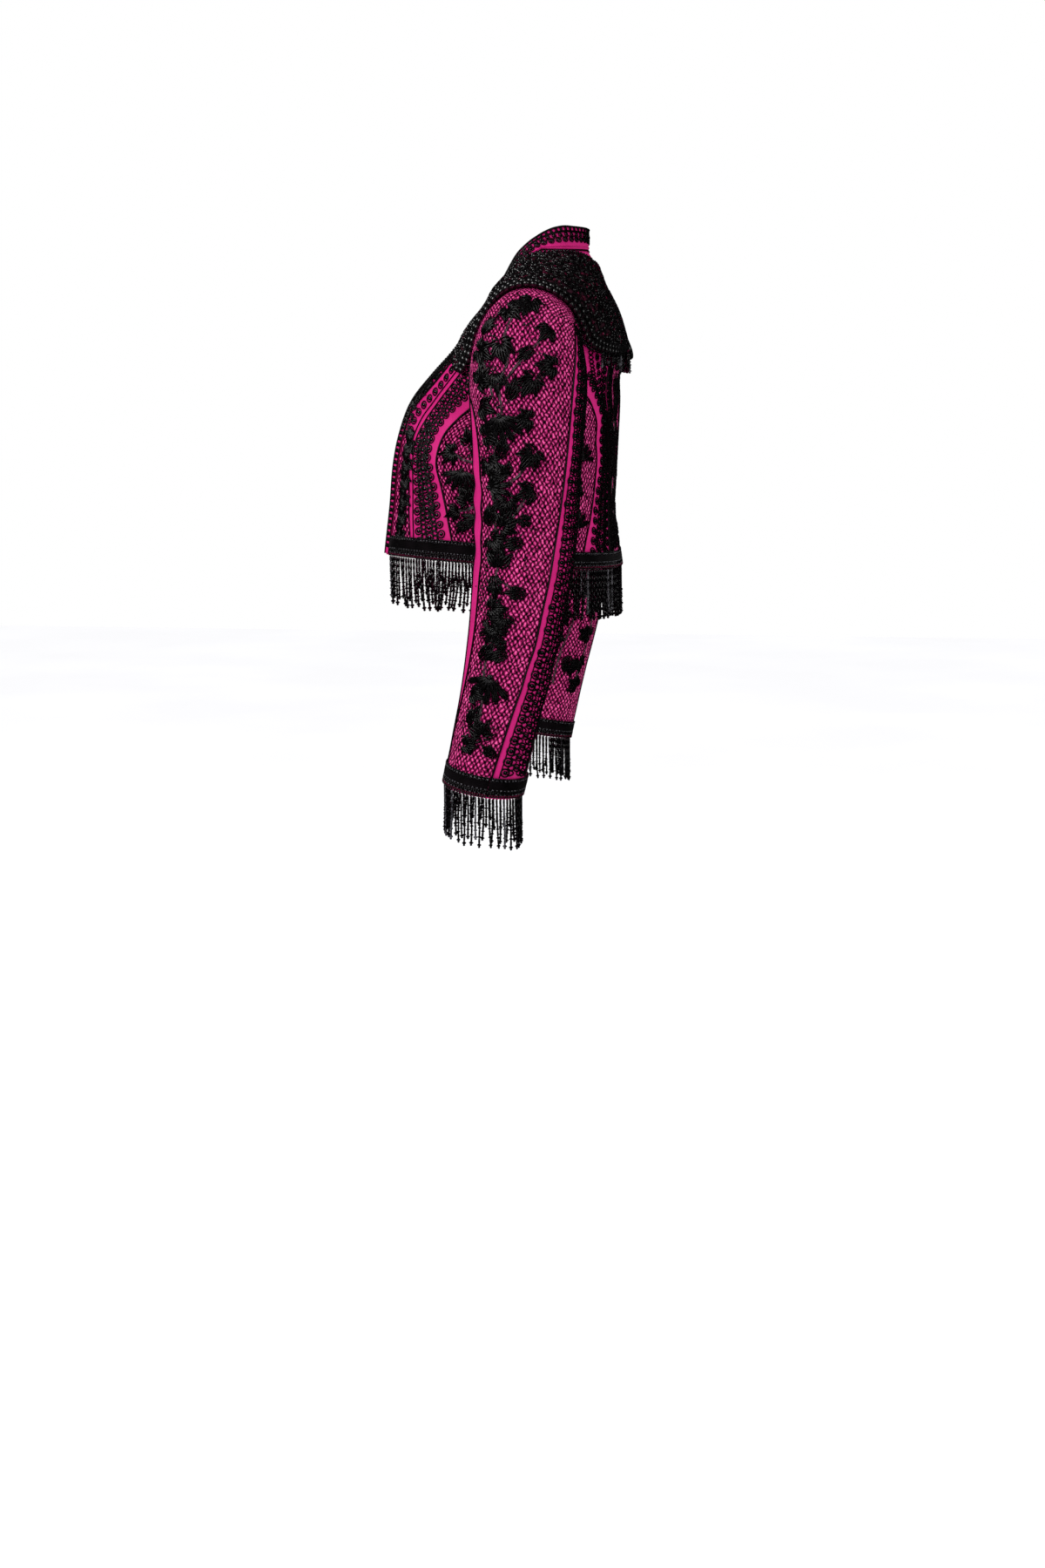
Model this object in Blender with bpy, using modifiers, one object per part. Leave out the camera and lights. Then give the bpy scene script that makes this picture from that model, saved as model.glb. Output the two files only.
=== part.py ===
"""A bullfighter's short jacket: stiff satin panels, beaded bands, fringe and shoulder pieces.

It keeps the hollow form it takes when worn open at the front with the arms down.
Axes: +Z up, the wearer faces -Y, and the wearer's left is +X.
Origin: in the middle of the neck hole, level with the tops of the shoulders.
The tables are in millimetres and degrees, and wall() turns them into metres.
A torso angle runs round the body: 0 is the middle of the front, 90 the side and
180 the middle of the back. A sleeve angle runs round the arm: 0 is its outer side
(the top of the shoulder, at the armhole), 90 the front and 180 under the arm.
"""

import math

import bmesh
import bpy
import numpy as np

MM = 0.001

# Driving dimensions, in millimetres ------------------------------------------
CLOTH = 1.8            # satin, interlining and close embroidery in one wall
COLLAR_CLOTH = 2.2     # the standing collar has one more layer of canvas
SEAM_GAP = 0.3         # between pieces that are sewn together
ARM_GAP = 0.9          # the same at the top of the armhole, where the cloth turns down
SEAM_OPENING = 7.0     # how much wider a shaping seam gapes at the armhole's corner
LAY_GAP = 0.75         # between a panel and the trim that lies on it
BRAID_GAP = 1.1        # the same under the braid, where the front turns below the chest
TRIM = 1.6             # braid and beaded bands
FRINGE = 3.0           # depth of a curtain of bead strings
PLATE = 3.0            # stiffened shoulder piece
PLATE_LIFT = 3.4       # its underside above the inner face of the panels
LOBE_STAND = 9.0       # how much further the low edge of its back lobe stands off
TASSEL = 6.0           # depth of the row of tassels under that edge
TASSEL_REACH = 22.0

SIDE_Y = 3.0           # the side seams stand this far behind the neck's middle
ARMHOLE_MIDDLE = -106.0
ARMHOLE_HALF_HEIGHT = 70.0
ARMHOLE_SWING = 21.0   # degrees that its front and back curve away from the side
PRINCESS_TURN = 125.0  # armhole angle where the princess seams start, front and back
NECK_RISE = 5.0        # of the neckline, from the shoulder seams to the back
BRAID_WIDTH = 8.0
HEM_FRINGE_REACH = 57.0
CUFF_FRINGE_REACH = 56.0
HANG_GAP = 0.8         # between a cloth edge and the strings that hang below it
CUFF_BAND_RINGS = (0.03, 0.48)  # the cuff band's lower and upper edge above the wrist, in ring steps
FORE_SEAM = 86.0        # sleeve angle of the front sleeve seam, below the shoulder cap
LAST_RING = 14

# Columns and rows of points on the panels. Trim takes its own points from these.
FRONT_COLUMNS = 7
SIDE_COLUMNS = 4
HALF_BACK_COLUMNS = 10
NECK_COLUMNS = 5       # of those, the ones along the neckline
PANEL_ROWS = 14
ARM_ROWS = 8           # of those, the ones along the armhole
COLLAR_ROWS = 4        # and the ones along the collar, in front


class Table:
    """Sizes under named columns, read at any key along smooth curves through the rows."""

    def __init__(self, columns, rows):
        self.names = columns.split()
        self.rows = np.array(rows, dtype=float)
        self.keys = self.rows[:, 0]
        self.slopes = np.gradient(self.rows, self.keys, axis=0)

    def at(self, key):
        i = int(np.clip(np.searchsorted(self.keys, key) - 1, 0, len(self.keys) - 2))
        step = self.keys[i + 1] - self.keys[i]
        t = (key - self.keys[i]) / step
        before = self.rows[i] * (1 + 2 * t) + self.slopes[i] * step * t
        after = self.rows[i + 1] * (3 - 2 * t) - self.slopes[i + 1] * step * (1 - t)
        return dict(zip(self.names, before * (1 - t) ** 2 + after * t * t))


# The body of the jacket as level rings: half an ellipse in front, a squarer half behind.
TORSO = Table("z half_width front_reach back_reach back_power", [
    (-385, 161, 224, 91, 2.3),
    (-355, 159, 222, 87, 2.3),
    (-295, 154, 217, 80.5, 2.4),
    (-240, 149, 213.5, 80.5, 2.5),
    (-206, 145.5, 206, 79.5, 2.6),
    (-172, 146.5, 189.5, 82, 2.6),
    (-135, 167, 148.5, 84, 2.4),
    (-106, 187, 116, 84.5, 2.2),
    (-80, 199, 94, 83, 2.1),
    (-50, 197, 67, 77, 2),
    (-36, 184, 59.5, 71, 2),
    (-20, 147, 47, 62.5, 2),
    (-8, 115, 40.5, 58.5, 2),
    (12, 71, 30, 52, 2),
    (24, 56, 24, 44, 2)])

# Neckline and front edge, from the hem up to the top of the shoulder seam.
FRONT_EDGE = Table("z angle", [
    (-385, 21.6), (-355, 22), (-295, 22.7), (-240, 23.2), (-206, 24), (-172, 24.9),
    (-135, 27.5), (-106, 32.4), (-80, 37.5), (-38, 50.7), (-8, 67.4), (15, 90)])

# The seams that shape the fronts and the back over chest and shoulder blades.
SHAPING_SEAMS = Table("z front_angle back_angle", [
    (-385, 59.5, 111.2), (-345, 55.5, 114.8), (-302, 51.3, 120.6), (-270, 48.2, 124),
    (-238, 45.6, 125.6), (-205, 47.8, 126.9), (-186, 54.1, 124.9), (-170, 62, 121.1),
    (-146, 73.3, 107.3)])

HEM = Table("angle z band_height", [
    (20, -354.3, 24.5), (65, -361, 25.5), (110, -367.5, 20.5), (180, -371.5, 20)])

# Top edge of the standing collar, by the torso angle of the neckline below it.
COLLAR_TOP = Table("angle x y z", [
    (49, 66.5, -58.5, -39),
    (52, 66, -50, -28.5),
    (58, 64.5, -40, -10),
    (66, 64, -29, 8.5),
    (78, 63.5, -17, 21.5),
    (90, 61.5, -4.5, 32),
    (105, 56, 11, 41.5),
    (120, 48, 23.5, 46),
    (140, 35, 37, 47),
    (160, 19, 47, 47.5),
    (180, 0, 50, 47.5)])

# Sleeve rings from the shoulder cap to the wrist. roll turns a ring from standing
# in the armhole to lying across the arm, and pitch lifts its front edge.
SLEEVE = Table("ring x y z half_out half_deep roll pitch hind_angle", [
    (0, 165, 3, -106, 72.5, 56, 15, 0, -60),
    (1, 181.8, 3.5, -110.3, 73.7, 60, 24.2, 0, -60),
    (2, 193.5, 4, -120, 72.1, 63.5, 33.7, 0, -60),
    (3, 202.4, 4.5, -135.4, 68.6, 66, 44.3, 0, -59.8),
    (4, 207.1, 5, -154.6, 64, 66.5, 55.4, 0, -58),
    (5, 209.3, 5.2, -176, 60, 65.5, 67, 0, -56),
    (6, 210.8, 5.3, -202, 57.2, 63.5, 78, 0, -54.8),
    (7, 212, 5.3, -237.5, 56.3, 61.5, 87, 0, -52.5),
    (8, 215.5, 5, -290, 55, 59.5, 90, 1, -47),
    (9, 219, 2.5, -345, 53.5, 57, 90, 4, -42),
    (10, 223, -4, -400, 52, 54.2, 91, 7, -38),
    (11, 227.5, -10.5, -455, 50.5, 51.5, 92, 9, -32.5),
    (12, 232.5, -21, -515, 48.5, 47.5, 94, 10, -24.5),
    (13, 237.5, -32.5, -570, 46, 46, 95, 10, -18),
    (14, 242.5, -44, -622, 43.5, 44.8, 95, 9, -13)])

# Shoulder piece: crossways rows from the point on the chest, over the shoulder,
# to the lobe on the shoulder blade. The lip reaches past the armhole over the sleeve.
SHOULDER_PIECE = Table("row in_angle in_z out_angle out_z arm_angle lip", [
    (0, 53.5, -130, 58, -133, 90, 0),
    (1, 50.5, -112, 64, -116, 90, 0),
    (2, 48, -88, 68, -87, 75, 0.5),
    (3, 52.5, -55, 73.5, -63, 52, 3),
    (4, 65, -22, 81, -43, 26, 6),
    (5, 79, 2, 90, -36, 0, 8),
    (6, 100, 9, 98, -42, -22, 8),
    (7, 128, 10, 105, -57, -45, 7),
    (8, 152, 4, 109, -76, -64, 5),
    (9, 165, -12, 112, -95, -80, 1.5),
    (10, 171.5, -40, 122, -105, -90, 0),
    (11, 174, -70, 142, -107, -90, 0),
    (12, 172, -98, 160, -103, -90, 0)])


def torso(angle, z):
    """A point on the inner face of the body, by its angle and height."""
    row = TORSO.at(z)
    across = math.sin(math.radians(angle))
    along = -math.cos(math.radians(angle))
    reach = row["back_reach"] if along > 0 else row["front_reach"]
    power = row["back_power"] if along > 0 else 2.0
    radius = (abs(across / row["half_width"]) ** power + abs(along / reach) ** power) ** (-1 / power)
    return np.array([radius * across, SIDE_Y + radius * along, z])


def armhole(arm_angle):
    """Where the armhole seam runs on the body, as a torso angle and a height."""
    turn = math.radians(arm_angle)
    angle = 90 - ARMHOLE_SWING * math.sin(turn)
    return angle, ARMHOLE_MIDDLE + ARMHOLE_HALF_HEIGHT * math.cos(turn)


def sleeve_ring(arm_angle, ring):
    """A point on one of the sleeve's elliptical rings."""
    row = SLEEVE.at(ring)
    turn = math.radians(arm_angle)
    roll = math.radians(row["roll"])
    pitch = math.radians(row["pitch"])
    outward = np.array([math.sin(roll), 0, math.cos(roll)])
    forward = np.array([0, -math.cos(pitch), math.sin(pitch)])
    centre = np.array([row["x"], row["y"], row["z"]])
    return (centre + outward * row["half_out"] * math.cos(turn)
            + forward * row["half_deep"] * math.sin(turn))


def sleeve(arm_angle, ring):
    """A point on the inner face of the sleeve, which starts along the armhole seam."""
    if ring >= 1:
        return sleeve_ring(arm_angle, ring)
    ease = ARM_GAP + CLOTH * (1 - math.cos(math.radians(arm_angle))) / 2
    seam = torso(*armhole(arm_angle))
    first = sleeve_ring(arm_angle, 1)
    start = seam + (first - seam) / np.linalg.norm(first - seam) * ease
    return start + (first - start) * ring


def outward_normal(surface, first, second, step=(0.5, 0.5)):
    """The direction out of the cloth at a place on a surface."""
    a = surface(first + step[0], second) - surface(first - step[0], second)
    b = surface(first, second + step[1]) - surface(first, second - step[1])
    normal = np.cross(a, b)
    return normal / np.linalg.norm(normal)


def raised_torso(angle, z, height):
    """A point over the body's inner face, at a height above it."""
    return torso(angle, z) + outward_normal(torso, angle, z) * height


def raised_sleeve(arm_angle, ring, height):
    """A point over the sleeve's inner face, at a height above it."""
    inner = min(ring, LAST_RING - 0.01)
    normal = outward_normal(sleeve_ring, arm_angle, inner, (0.5, 0.01))
    return sleeve(arm_angle, ring) + normal * height


def seam_angle(column, z, share, sign):
    """A shaping seam's angle on one side of its gap, which opens a little at the armhole."""
    angle = SHAPING_SEAMS.at(z)[column]
    return angle + sign * gap_angle(angle, z) * (1 + SEAM_OPENING * (1 - share) ** 4)


def gap_angle(angle, z, share=0.5):
    """The torso angle that spans a share of the seam gap."""
    radius = math.hypot(*torso(angle, z)[:2])
    return math.degrees(SEAM_GAP * share / radius)


def neck_z(angle):
    """Height of the neckline seam, rising from the shoulder seam to the back."""
    return FRONT_EDGE.keys[-1] + NECK_RISE * math.sin(math.radians(angle - 90)) ** 2


def satin_material(name, colour, roughness):
    """A cloth finish in its plain colour."""
    material = bpy.data.materials.new(name)
    material.use_nodes = True
    shader = material.node_tree.nodes["Principled BSDF"]
    shader.inputs["Base Color"].default_value = (*colour, 1)
    shader.inputs["Roughness"].default_value = roughness
    shader.inputs["Metallic"].default_value = 0
    return material


def wall(name, place, columns, rows, thickness, material, side=1):
    """A cloth wall through place(u, v), thickened outwards. side -1 gives the right-hand one."""
    mesh = bpy.data.meshes.new(name)
    grid = bmesh.new()
    bmesh.ops.create_grid(grid, x_segments=columns, y_segments=rows, size=1)
    for vertex in grid.verts:
        u = round((vertex.co.x + 1) / 2 * columns) / columns
        v = round((vertex.co.y + 1) / 2 * rows) / rows
        x, y, z = np.array(place(u, v)) * MM
        vertex.co = (side * x, y, z)
    if side < 0:
        bmesh.ops.reverse_faces(grid, faces=grid.faces)
    grid.to_mesh(mesh)
    grid.free()
    mesh.shade_smooth()
    cloth = bpy.data.objects.new(name, mesh)
    JACKET.objects.link(cloth)
    mesh.materials.append(material)
    solid = cloth.modifiers.new("cloth", "SOLIDIFY")
    solid.thickness = thickness * MM
    solid.offset = 1
    solid.use_even_offset = True
    solid.use_quality_normals = True
    return cloth


def coons(top, bottom, left, right):
    """A patch in surface coordinates between four edges, each a function of 0 to 1."""
    corners = [np.array(top(u)) for u in (0, 1)] + [np.array(bottom(u)) for u in (0, 1)]

    def place(u, v):
        across = (1 - u) * np.array(left(v)) + u * np.array(right(v))
        down = (1 - v) * np.array(top(u)) + v * np.array(bottom(u))
        flat = (1 - v) * ((1 - u) * corners[0] + u * corners[1])
        flat = flat + v * ((1 - u) * corners[2] + u * corners[3])
        return across + down - flat

    return place


def mix(a, b, t):
    return a + (b - a) * t


def spread(first, last, count):
    """Evenly spaced values from first to last."""
    return [mix(first, last, i / count) for i in range(count + 1)]


def row_depth(v):
    """Rows of a front or back lie closer together near the neck."""
    return v ** 1.5


def panel_outer_edge(column, sign):
    """The outer edge of a front or back: down the armhole, then its shaping seam."""
    def edge(v):
        row = v * PANEL_ROWS
        if row < ARM_ROWS + 0.01:
            angle, z = armhole(sign * PRINCESS_TURN * row / ARM_ROWS)
            nudge = gap_angle(angle, z) if row < 1 else 0
            return angle - sign * nudge, z
        top = armhole(sign * PRINCESS_TURN)[1]
        t = (row - ARM_ROWS) / (PANEL_ROWS - ARM_ROWS)
        hem = HEM.at(SHAPING_SEAMS.at(-355)[column])["z"]
        z = mix(top, hem, t)
        return seam_angle(column, z, t, -sign), z
    return edge


def front_patch():
    """The front: shoulder seam, neckline and front edge, armhole and princess seam, hem."""
    outer = panel_outer_edge("front_angle", 1)
    hem_front = HEM.at(21.7)["z"]
    hem_outer = outer(1)

    def top(u):
        z = mix(FRONT_EDGE.keys[-1], armhole(0)[1], u)
        return 90 - gap_angle(90, z), z

    def inner(v):
        z = mix(FRONT_EDGE.keys[-1], hem_front, row_depth(v))
        return FRONT_EDGE.at(z)["angle"] - (gap_angle(90, z) if v == 0 else 0), z

    def hem(u):
        angle = mix(inner(1)[0], hem_outer[0], u)
        return angle, HEM.at(angle)["z"]

    return coons(top, hem, inner, outer)


def side_patch(column, sign):
    """A side piece, from its shaping seam to the side seam, between armhole and hem."""
    def seam(v):
        z_top = armhole(sign * PRINCESS_TURN)[1]
        angle_hem = SHAPING_SEAMS.at(-355)[column]
        z = mix(z_top, HEM.at(angle_hem)["z"], v)
        return seam_angle(column, z, v, sign), z

    def side(v):
        z = mix(armhole(180)[1], HEM.at(90)["z"], v)
        return 90 - sign * gap_angle(90, z), z

    def top(u):
        angle, z = armhole(sign * mix(PRINCESS_TURN, 180, u))
        return angle + sign * mix((1 + SEAM_OPENING) * gap_angle(angle, z), -gap_angle(90, z), u), z

    def hem(u):
        angle = mix(seam(1)[0], side(1)[0], u)
        return angle, HEM.at(angle)["z"]

    return coons(top, hem, seam, side)


def back_patch():
    """Half of the back, from its middle line to the armhole and the side-back seam."""
    outer = panel_outer_edge("back_angle", -1)

    def top(u):
        neck_share = NECK_COLUMNS / HALF_BACK_COLUMNS
        if u <= neck_share:
            angle = mix(180, 90, u / neck_share)
            return max(angle, 90 + gap_angle(90, neck_z(90))), neck_z(angle)
        z = mix(neck_z(90), armhole(0)[1], (u - neck_share) / (1 - neck_share))
        return 90 + gap_angle(90, z), z

    def middle(v):
        return 180, mix(neck_z(180), HEM.at(180)["z"], row_depth(v))

    def hem(u):
        angle = mix(180, outer(1)[0], u)
        return angle, HEM.at(angle)["z"]

    return coons(top, hem, middle, outer)


def build_fronts(side, suffix):
    """Front, side-front and side-back of one side."""
    front = front_patch()
    wall("front" + suffix, lambda u, v: torso(*front(u, 1 - v)),
         FRONT_COLUMNS, PANEL_ROWS, CLOTH, MAGENTA, side)
    side_front = side_patch("front_angle", 1)
    wall("side_front" + suffix, lambda u, v: torso(*side_front(u, 1 - v)),
         SIDE_COLUMNS, PANEL_ROWS - ARM_ROWS, CLOTH, MAGENTA, side)
    side_back = side_patch("back_angle", -1)
    wall("side_back" + suffix, lambda u, v: torso(*side_back(1 - u, 1 - v)),
         SIDE_COLUMNS, PANEL_ROWS - ARM_ROWS, CLOTH, MAGENTA, side)


def build_back():
    """The whole back in one piece, its right half the mirror of its left."""
    half = back_patch()

    def place(u, v):
        point = torso(*half(abs(2 * u - 1), 1 - v))
        return point * (-1 if u > 0.5 else 1, 1, 1)

    wall("back", place, 2 * HALF_BACK_COLUMNS, PANEL_ROWS, CLOTH, MAGENTA)


def armhole_angles(first, last):
    """Sleeve angles of the panels' own points round the armhole, between two of them."""
    quarter = spread(0, PRINCESS_TURN, ARM_ROWS) + spread(PRINCESS_TURN, 180, SIDE_COLUMNS)[1:]
    whole = [-angle for angle in reversed(quarter[1:])] + quarter
    whole += [360 - angle for angle in reversed(quarter[:-1])]
    return [angle for angle in whole if first - 0.1 < angle < last + 0.1]


def sleeve_columns():
    """Where the sleeve seams meet the armhole, and the points round it between them."""
    step = PRINCESS_TURN / ARM_ROWS
    hind = -4 * step
    fore = 5 * step
    return armhole_angles(hind, fore)[::-1], armhole_angles(fore, hind + 360)[::-1]


def sleeve_angle(columns, share, ring, first, last):
    """Columns start at the armhole's points and space out evenly by the fourth ring."""
    at_armhole = columns[round(share * (len(columns) - 1))]
    t = min(ring / 4, 1)
    return mix(at_armhole, mix(first, last, share), t * t * (3 - 2 * t))


def build_sleeve(side, suffix):
    """Upper and under sleeve, from the shoulder cap to the wrist."""
    upper_columns, under_columns = sleeve_columns()

    def half_gap(ring):
        return math.degrees(SEAM_GAP / 2 / SLEEVE.at(ring)["half_out"])

    def nudged(angle, share, ring, towards):
        """Half the seam gap, on the two sides of a piece."""
        return angle + towards * half_gap(ring) * (1 if share == 0 else -1 if share == 1 else 0)

    def upper(u, v):
        ring = (1 - v) * LAST_RING
        angle = sleeve_angle(upper_columns, u, ring, FORE_SEAM, SLEEVE.at(ring)["hind_angle"])
        return sleeve(nudged(angle, u, ring, -1), ring)

    def under(u, v):
        ring = (1 - v) * LAST_RING
        hind = SLEEVE.at(ring)["hind_angle"] + 360
        return sleeve(nudged(sleeve_angle(under_columns, u, ring, hind, FORE_SEAM), u, ring, -1), ring)

    wall("upper_sleeve" + suffix, upper, len(upper_columns) - 1, LAST_RING, CLOTH, MAGENTA, side)
    wall("under_sleeve" + suffix, under, len(under_columns) - 1, LAST_RING, CLOTH, MAGENTA, side)


def neckline():
    """The panels' own points along half the neckline, from back to front."""
    behind = [(angle, neck_z(angle)) for angle in spread(180, 90, NECK_COLUMNS)]
    front = front_patch()
    return behind + [front(0, row / PANEL_ROWS) for row in range(1, COLLAR_ROWS + 1)]


def build_collar():
    """The standing collar, from point to point round the back of the neck."""
    half = neckline()
    last = len(half) - 1

    def place(u, v):
        angle, z = half[round(abs(2 * u - 1) * last)]
        base = torso(angle, z)
        row = COLLAR_TOP.at(angle)
        top = np.array([row["x"], row["y"], row["z"]])
        rise = top - base
        base = base + rise / np.linalg.norm(rise) * (CLOTH + LAY_GAP)
        return mix(base, top, v) * (-1 if u > 0.5 else 1, 1, 1)

    wall("collar", place, 2 * last, 2, COLLAR_CLOTH, MAGENTA)


def lobe_stand(angle, z):
    """How far the back lobe of a shoulder piece stands off, growing downwards from its root."""
    down = min(max((-z - 35) / 70, 0), 1)
    behind = min(max((angle - 105) / 25, 0), 1)
    return LOBE_STAND * down ** 1.4 * behind


def build_shoulder_piece(side, suffix):
    """The stiffened piece over one shoulder, with the tassel under its back lobe."""
    rows = len(SHOULDER_PIECE.rows) - 1

    def place(u, v):
        row = SHOULDER_PIECE.at(v * rows)
        angle = mix(row["in_angle"], row["out_angle"], u)
        z = mix(row["in_z"], row["out_z"], u)
        point = raised_torso(angle, z, PLATE_LIFT + lobe_stand(angle, z))
        seam = torso(*armhole(row["arm_angle"]))
        arm = sleeve_ring(row["arm_angle"], 1) - seam
        return point + arm / np.linalg.norm(arm) * row["lip"] * u ** 4

    wall("shoulder_piece" + suffix, place, 6, 2 * rows, PLATE, BLACK, side)

    def tassel(u, v):
        edge = SHOULDER_PIECE.at(mix(10.3, 11.5, u))
        drop = HANG_GAP + (1 - v) * TASSEL_REACH
        stand = PLATE_LIFT + lobe_stand(edge["out_angle"], edge["out_z"]) - (TASSEL - PLATE) / 2
        return raised_torso(edge["out_angle"], edge["out_z"] - drop, stand)

    wall("tassel" + suffix, tassel, 3, 2, TASSEL, BLACK, side)


def hem_angles():
    """Torso angles of the panels' own points along the hem, from front edge to side seam."""
    princess = SHAPING_SEAMS.at(HEM.at(55)["z"])["front_angle"]
    front = spread(FRONT_EDGE.at(HEM.at(20)["z"])["angle"], princess, FRONT_COLUMNS)
    return front + spread(princess, 90, SIDE_COLUMNS)[1:]


def back_hem_angles():
    """The same for the back, from the left side seam round to the right one."""
    seam = SHAPING_SEAMS.at(HEM.at(112)["z"])["back_angle"]
    half = spread(90, seam, SIDE_COLUMNS) + spread(seam, 180, HALF_BACK_COLUMNS)[1:]
    return half + [360 - angle for angle in reversed(half[:-1])]


def hem_point(angle, up, raised):
    """A point at the hem, at a height above its edge, raised off the cloth."""
    near = min(angle, 360 - angle)
    row = HEM.at(near)
    point = raised_torso(near, row["z"] + up * row["band_height"], raised)
    return point * (1 if angle <= 180 else -1, 1, 1)


def braid_edge(z):
    """Torso angle of the inner side of the braid on a front edge."""
    edge = FRONT_EDGE.at(z)["angle"]
    return edge + math.degrees(BRAID_WIDTH / math.hypot(*torso(edge, z)[:2]))


def build_hem_length(suffix, angles, side=1, beside_braid=False):
    """One length of beaded band on the hem, with its curtain of bead strings below."""
    def band(u, v):
        angle = angles[round(u * (len(angles) - 1))]
        if beside_braid and u == 0:
            angle = braid_edge(hem_point(angle, v, 0)[2]) + gap_angle(angle, HEM.at(20)["z"], 2)
        return hem_point(angle, v, CLOTH + LAY_GAP)

    def fringe(u, v):
        angle = angles[round(u * (len(angles) - 1))]
        if beside_braid and u == 0:
            angle = braid_edge(HEM.at(angle)["z"])
        drop = HANG_GAP + (1 - v) * HEM_FRINGE_REACH
        return hem_point(angle, 0, 0) - (0, 0, drop)

    wall("hem_band" + suffix, band, len(angles) - 1, 1, TRIM, BLACK, side)
    wall("hem_fringe" + suffix, fringe, len(angles) - 1, 1, FRINGE, BLACK, side)


def build_hem():
    """Three lengths of band and fringe, joined below the side seams."""
    joint = gap_angle(90, -360)
    front = hem_angles()
    front[-1] -= joint
    for side, suffix in ((1, "_left"), (-1, "_right")):
        build_hem_length(suffix, front, side, beside_braid=True)
    back = back_hem_angles()
    back[0] += joint
    back[-1] -= joint
    build_hem_length("_back", back)


def build_front_braid(side, suffix):
    """The narrow braid down a front edge, from the collar's point to the hem."""
    front = front_patch()
    rows = PANEL_ROWS - COLLAR_ROWS - 1

    def place(u, v):
        edge, z = front(0, (PANEL_ROWS - v * rows) / PANEL_ROWS)
        return raised_torso(mix(edge, braid_edge(z), u), z, CLOTH + BRAID_GAP)

    wall("front_braid" + suffix, place, 1, rows, TRIM, BLACK, side)


def build_cuff(side, suffix):
    """The beaded band round the wrist and the fringe below it, both open at the hind seam."""
    hind = SLEEVE.at(LAST_RING)["hind_angle"]
    upper_columns, under_columns = sleeve_columns()
    around = spread(hind + 360, FORE_SEAM, len(under_columns) - 1)
    around += spread(FORE_SEAM, hind, len(upper_columns) - 1)[1:]
    opening = math.degrees(SEAM_GAP / SLEEVE.at(LAST_RING)["half_out"])
    around[0] -= opening
    around[-1] += opening

    def band(u, v):
        angle = around[round(u * (len(around) - 1))]
        return raised_sleeve(angle, LAST_RING - mix(*CUFF_BAND_RINGS, v), CLOTH + LAY_GAP)

    def fringe(u, v):
        angle = around[round(u * (len(around) - 1))]
        drop = HANG_GAP + (1 - v) * CUFF_FRINGE_REACH
        return sleeve(angle, LAST_RING) - (0, 0, drop)

    wall("cuff_band" + suffix, band, len(around) - 1, 1, TRIM, BLACK, side)
    wall("cuff_fringe" + suffix, fringe, len(around) - 1, 1, FRINGE, BLACK, side)


for old in list(bpy.data.objects):
    bpy.data.objects.remove(old, do_unlink=True)

JACKET = bpy.data.collections.new("matador_jacket")
bpy.context.scene.collection.children.link(JACKET)
MAGENTA = satin_material("embroidered_magenta_satin", (0.55, 0.01, 0.16), 0.42)
BLACK = satin_material("black_beading", (0.01, 0.009, 0.01), 0.35)

build_back()
build_collar()
build_hem()
for SIDE, SUFFIX in ((1, "_left"), (-1, "_right")):
    build_fronts(SIDE, SUFFIX)
    build_sleeve(SIDE, SUFFIX)
    build_shoulder_piece(SIDE, SUFFIX)
    build_front_braid(SIDE, SUFFIX)
    build_cuff(SIDE, SUFFIX)
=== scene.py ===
"""A bullfighter's short jacket in worked magenta satin, worn open with the arms down.

The cloth panels are netted satin shells. Looped braid, beaded leaves and blossoms, beaded
borders, strings of beads and two stiffened shoulder pieces lie on them.
Sizes are in millimetres and degrees until a piece is made, and metres after that.
A torso angle runs round the body: 0 is the middle of the front, 90 the wearer's left
side and 180 the middle of the back. A sleeve angle runs round the arm: 0 is its outer
side, 90 the front and 180 under the arm.
"""

import math

import bpy
import numpy as np
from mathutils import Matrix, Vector


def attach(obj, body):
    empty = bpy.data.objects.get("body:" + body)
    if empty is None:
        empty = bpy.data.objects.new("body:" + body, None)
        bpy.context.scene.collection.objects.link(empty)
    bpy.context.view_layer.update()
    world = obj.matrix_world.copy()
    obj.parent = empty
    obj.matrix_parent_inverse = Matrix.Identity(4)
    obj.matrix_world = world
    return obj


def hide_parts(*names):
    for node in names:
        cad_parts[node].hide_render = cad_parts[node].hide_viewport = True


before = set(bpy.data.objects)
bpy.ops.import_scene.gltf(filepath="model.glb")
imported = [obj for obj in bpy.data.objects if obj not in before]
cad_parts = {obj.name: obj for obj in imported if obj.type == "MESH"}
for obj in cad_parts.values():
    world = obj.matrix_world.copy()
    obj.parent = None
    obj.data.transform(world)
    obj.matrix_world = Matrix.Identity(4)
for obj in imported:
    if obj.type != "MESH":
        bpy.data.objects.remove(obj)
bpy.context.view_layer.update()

MM = 0.001

# The cut ----------------------------------------------------------------------
CLOTH = 1.8            # thickness of a worked panel
COLLAR_CLOTH = 2.2
LAY_GAP = 0.75         # between a panel and what is sewn on it
TRIM = 1.6             # thickness of the braid's ribbon
PLATE = 3.0            # thickness of a shoulder piece
PLATE_LIFT = 3.4       # how high it lies over the body
LOBE_STAND = 9.0       # and how far the foot of its back lobe stands off besides
SIDE_Y = 3.0           # the body's widest place is this far back
ARMHOLE_MIDDLE = -106.0
ARMHOLE_HALF_HEIGHT = 70.0
ARMHOLE_SWING = 21.0   # torso degrees from its middle to its front
PRINCESS_TURN = 125.0  # arm angle where the shaping seams leave the armhole
NECK_RISE = 5.0        # from the shoulder seams to the middle of the back
BRAID_WIDTH = 8.0
FORE_SEAM = 86.0       # sleeve angle of the front seam
LAST_RING = 14
CUFF_RING = 13.52      # where the cuff's border begins
SEAM = 0.1             # half the hairline between two panels
SEAM_FOOT = -355.0     # a height near the hem, where the shaping seams end
CORNER = 0.5           # share of a panel's edge that lies before its corner
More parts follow.
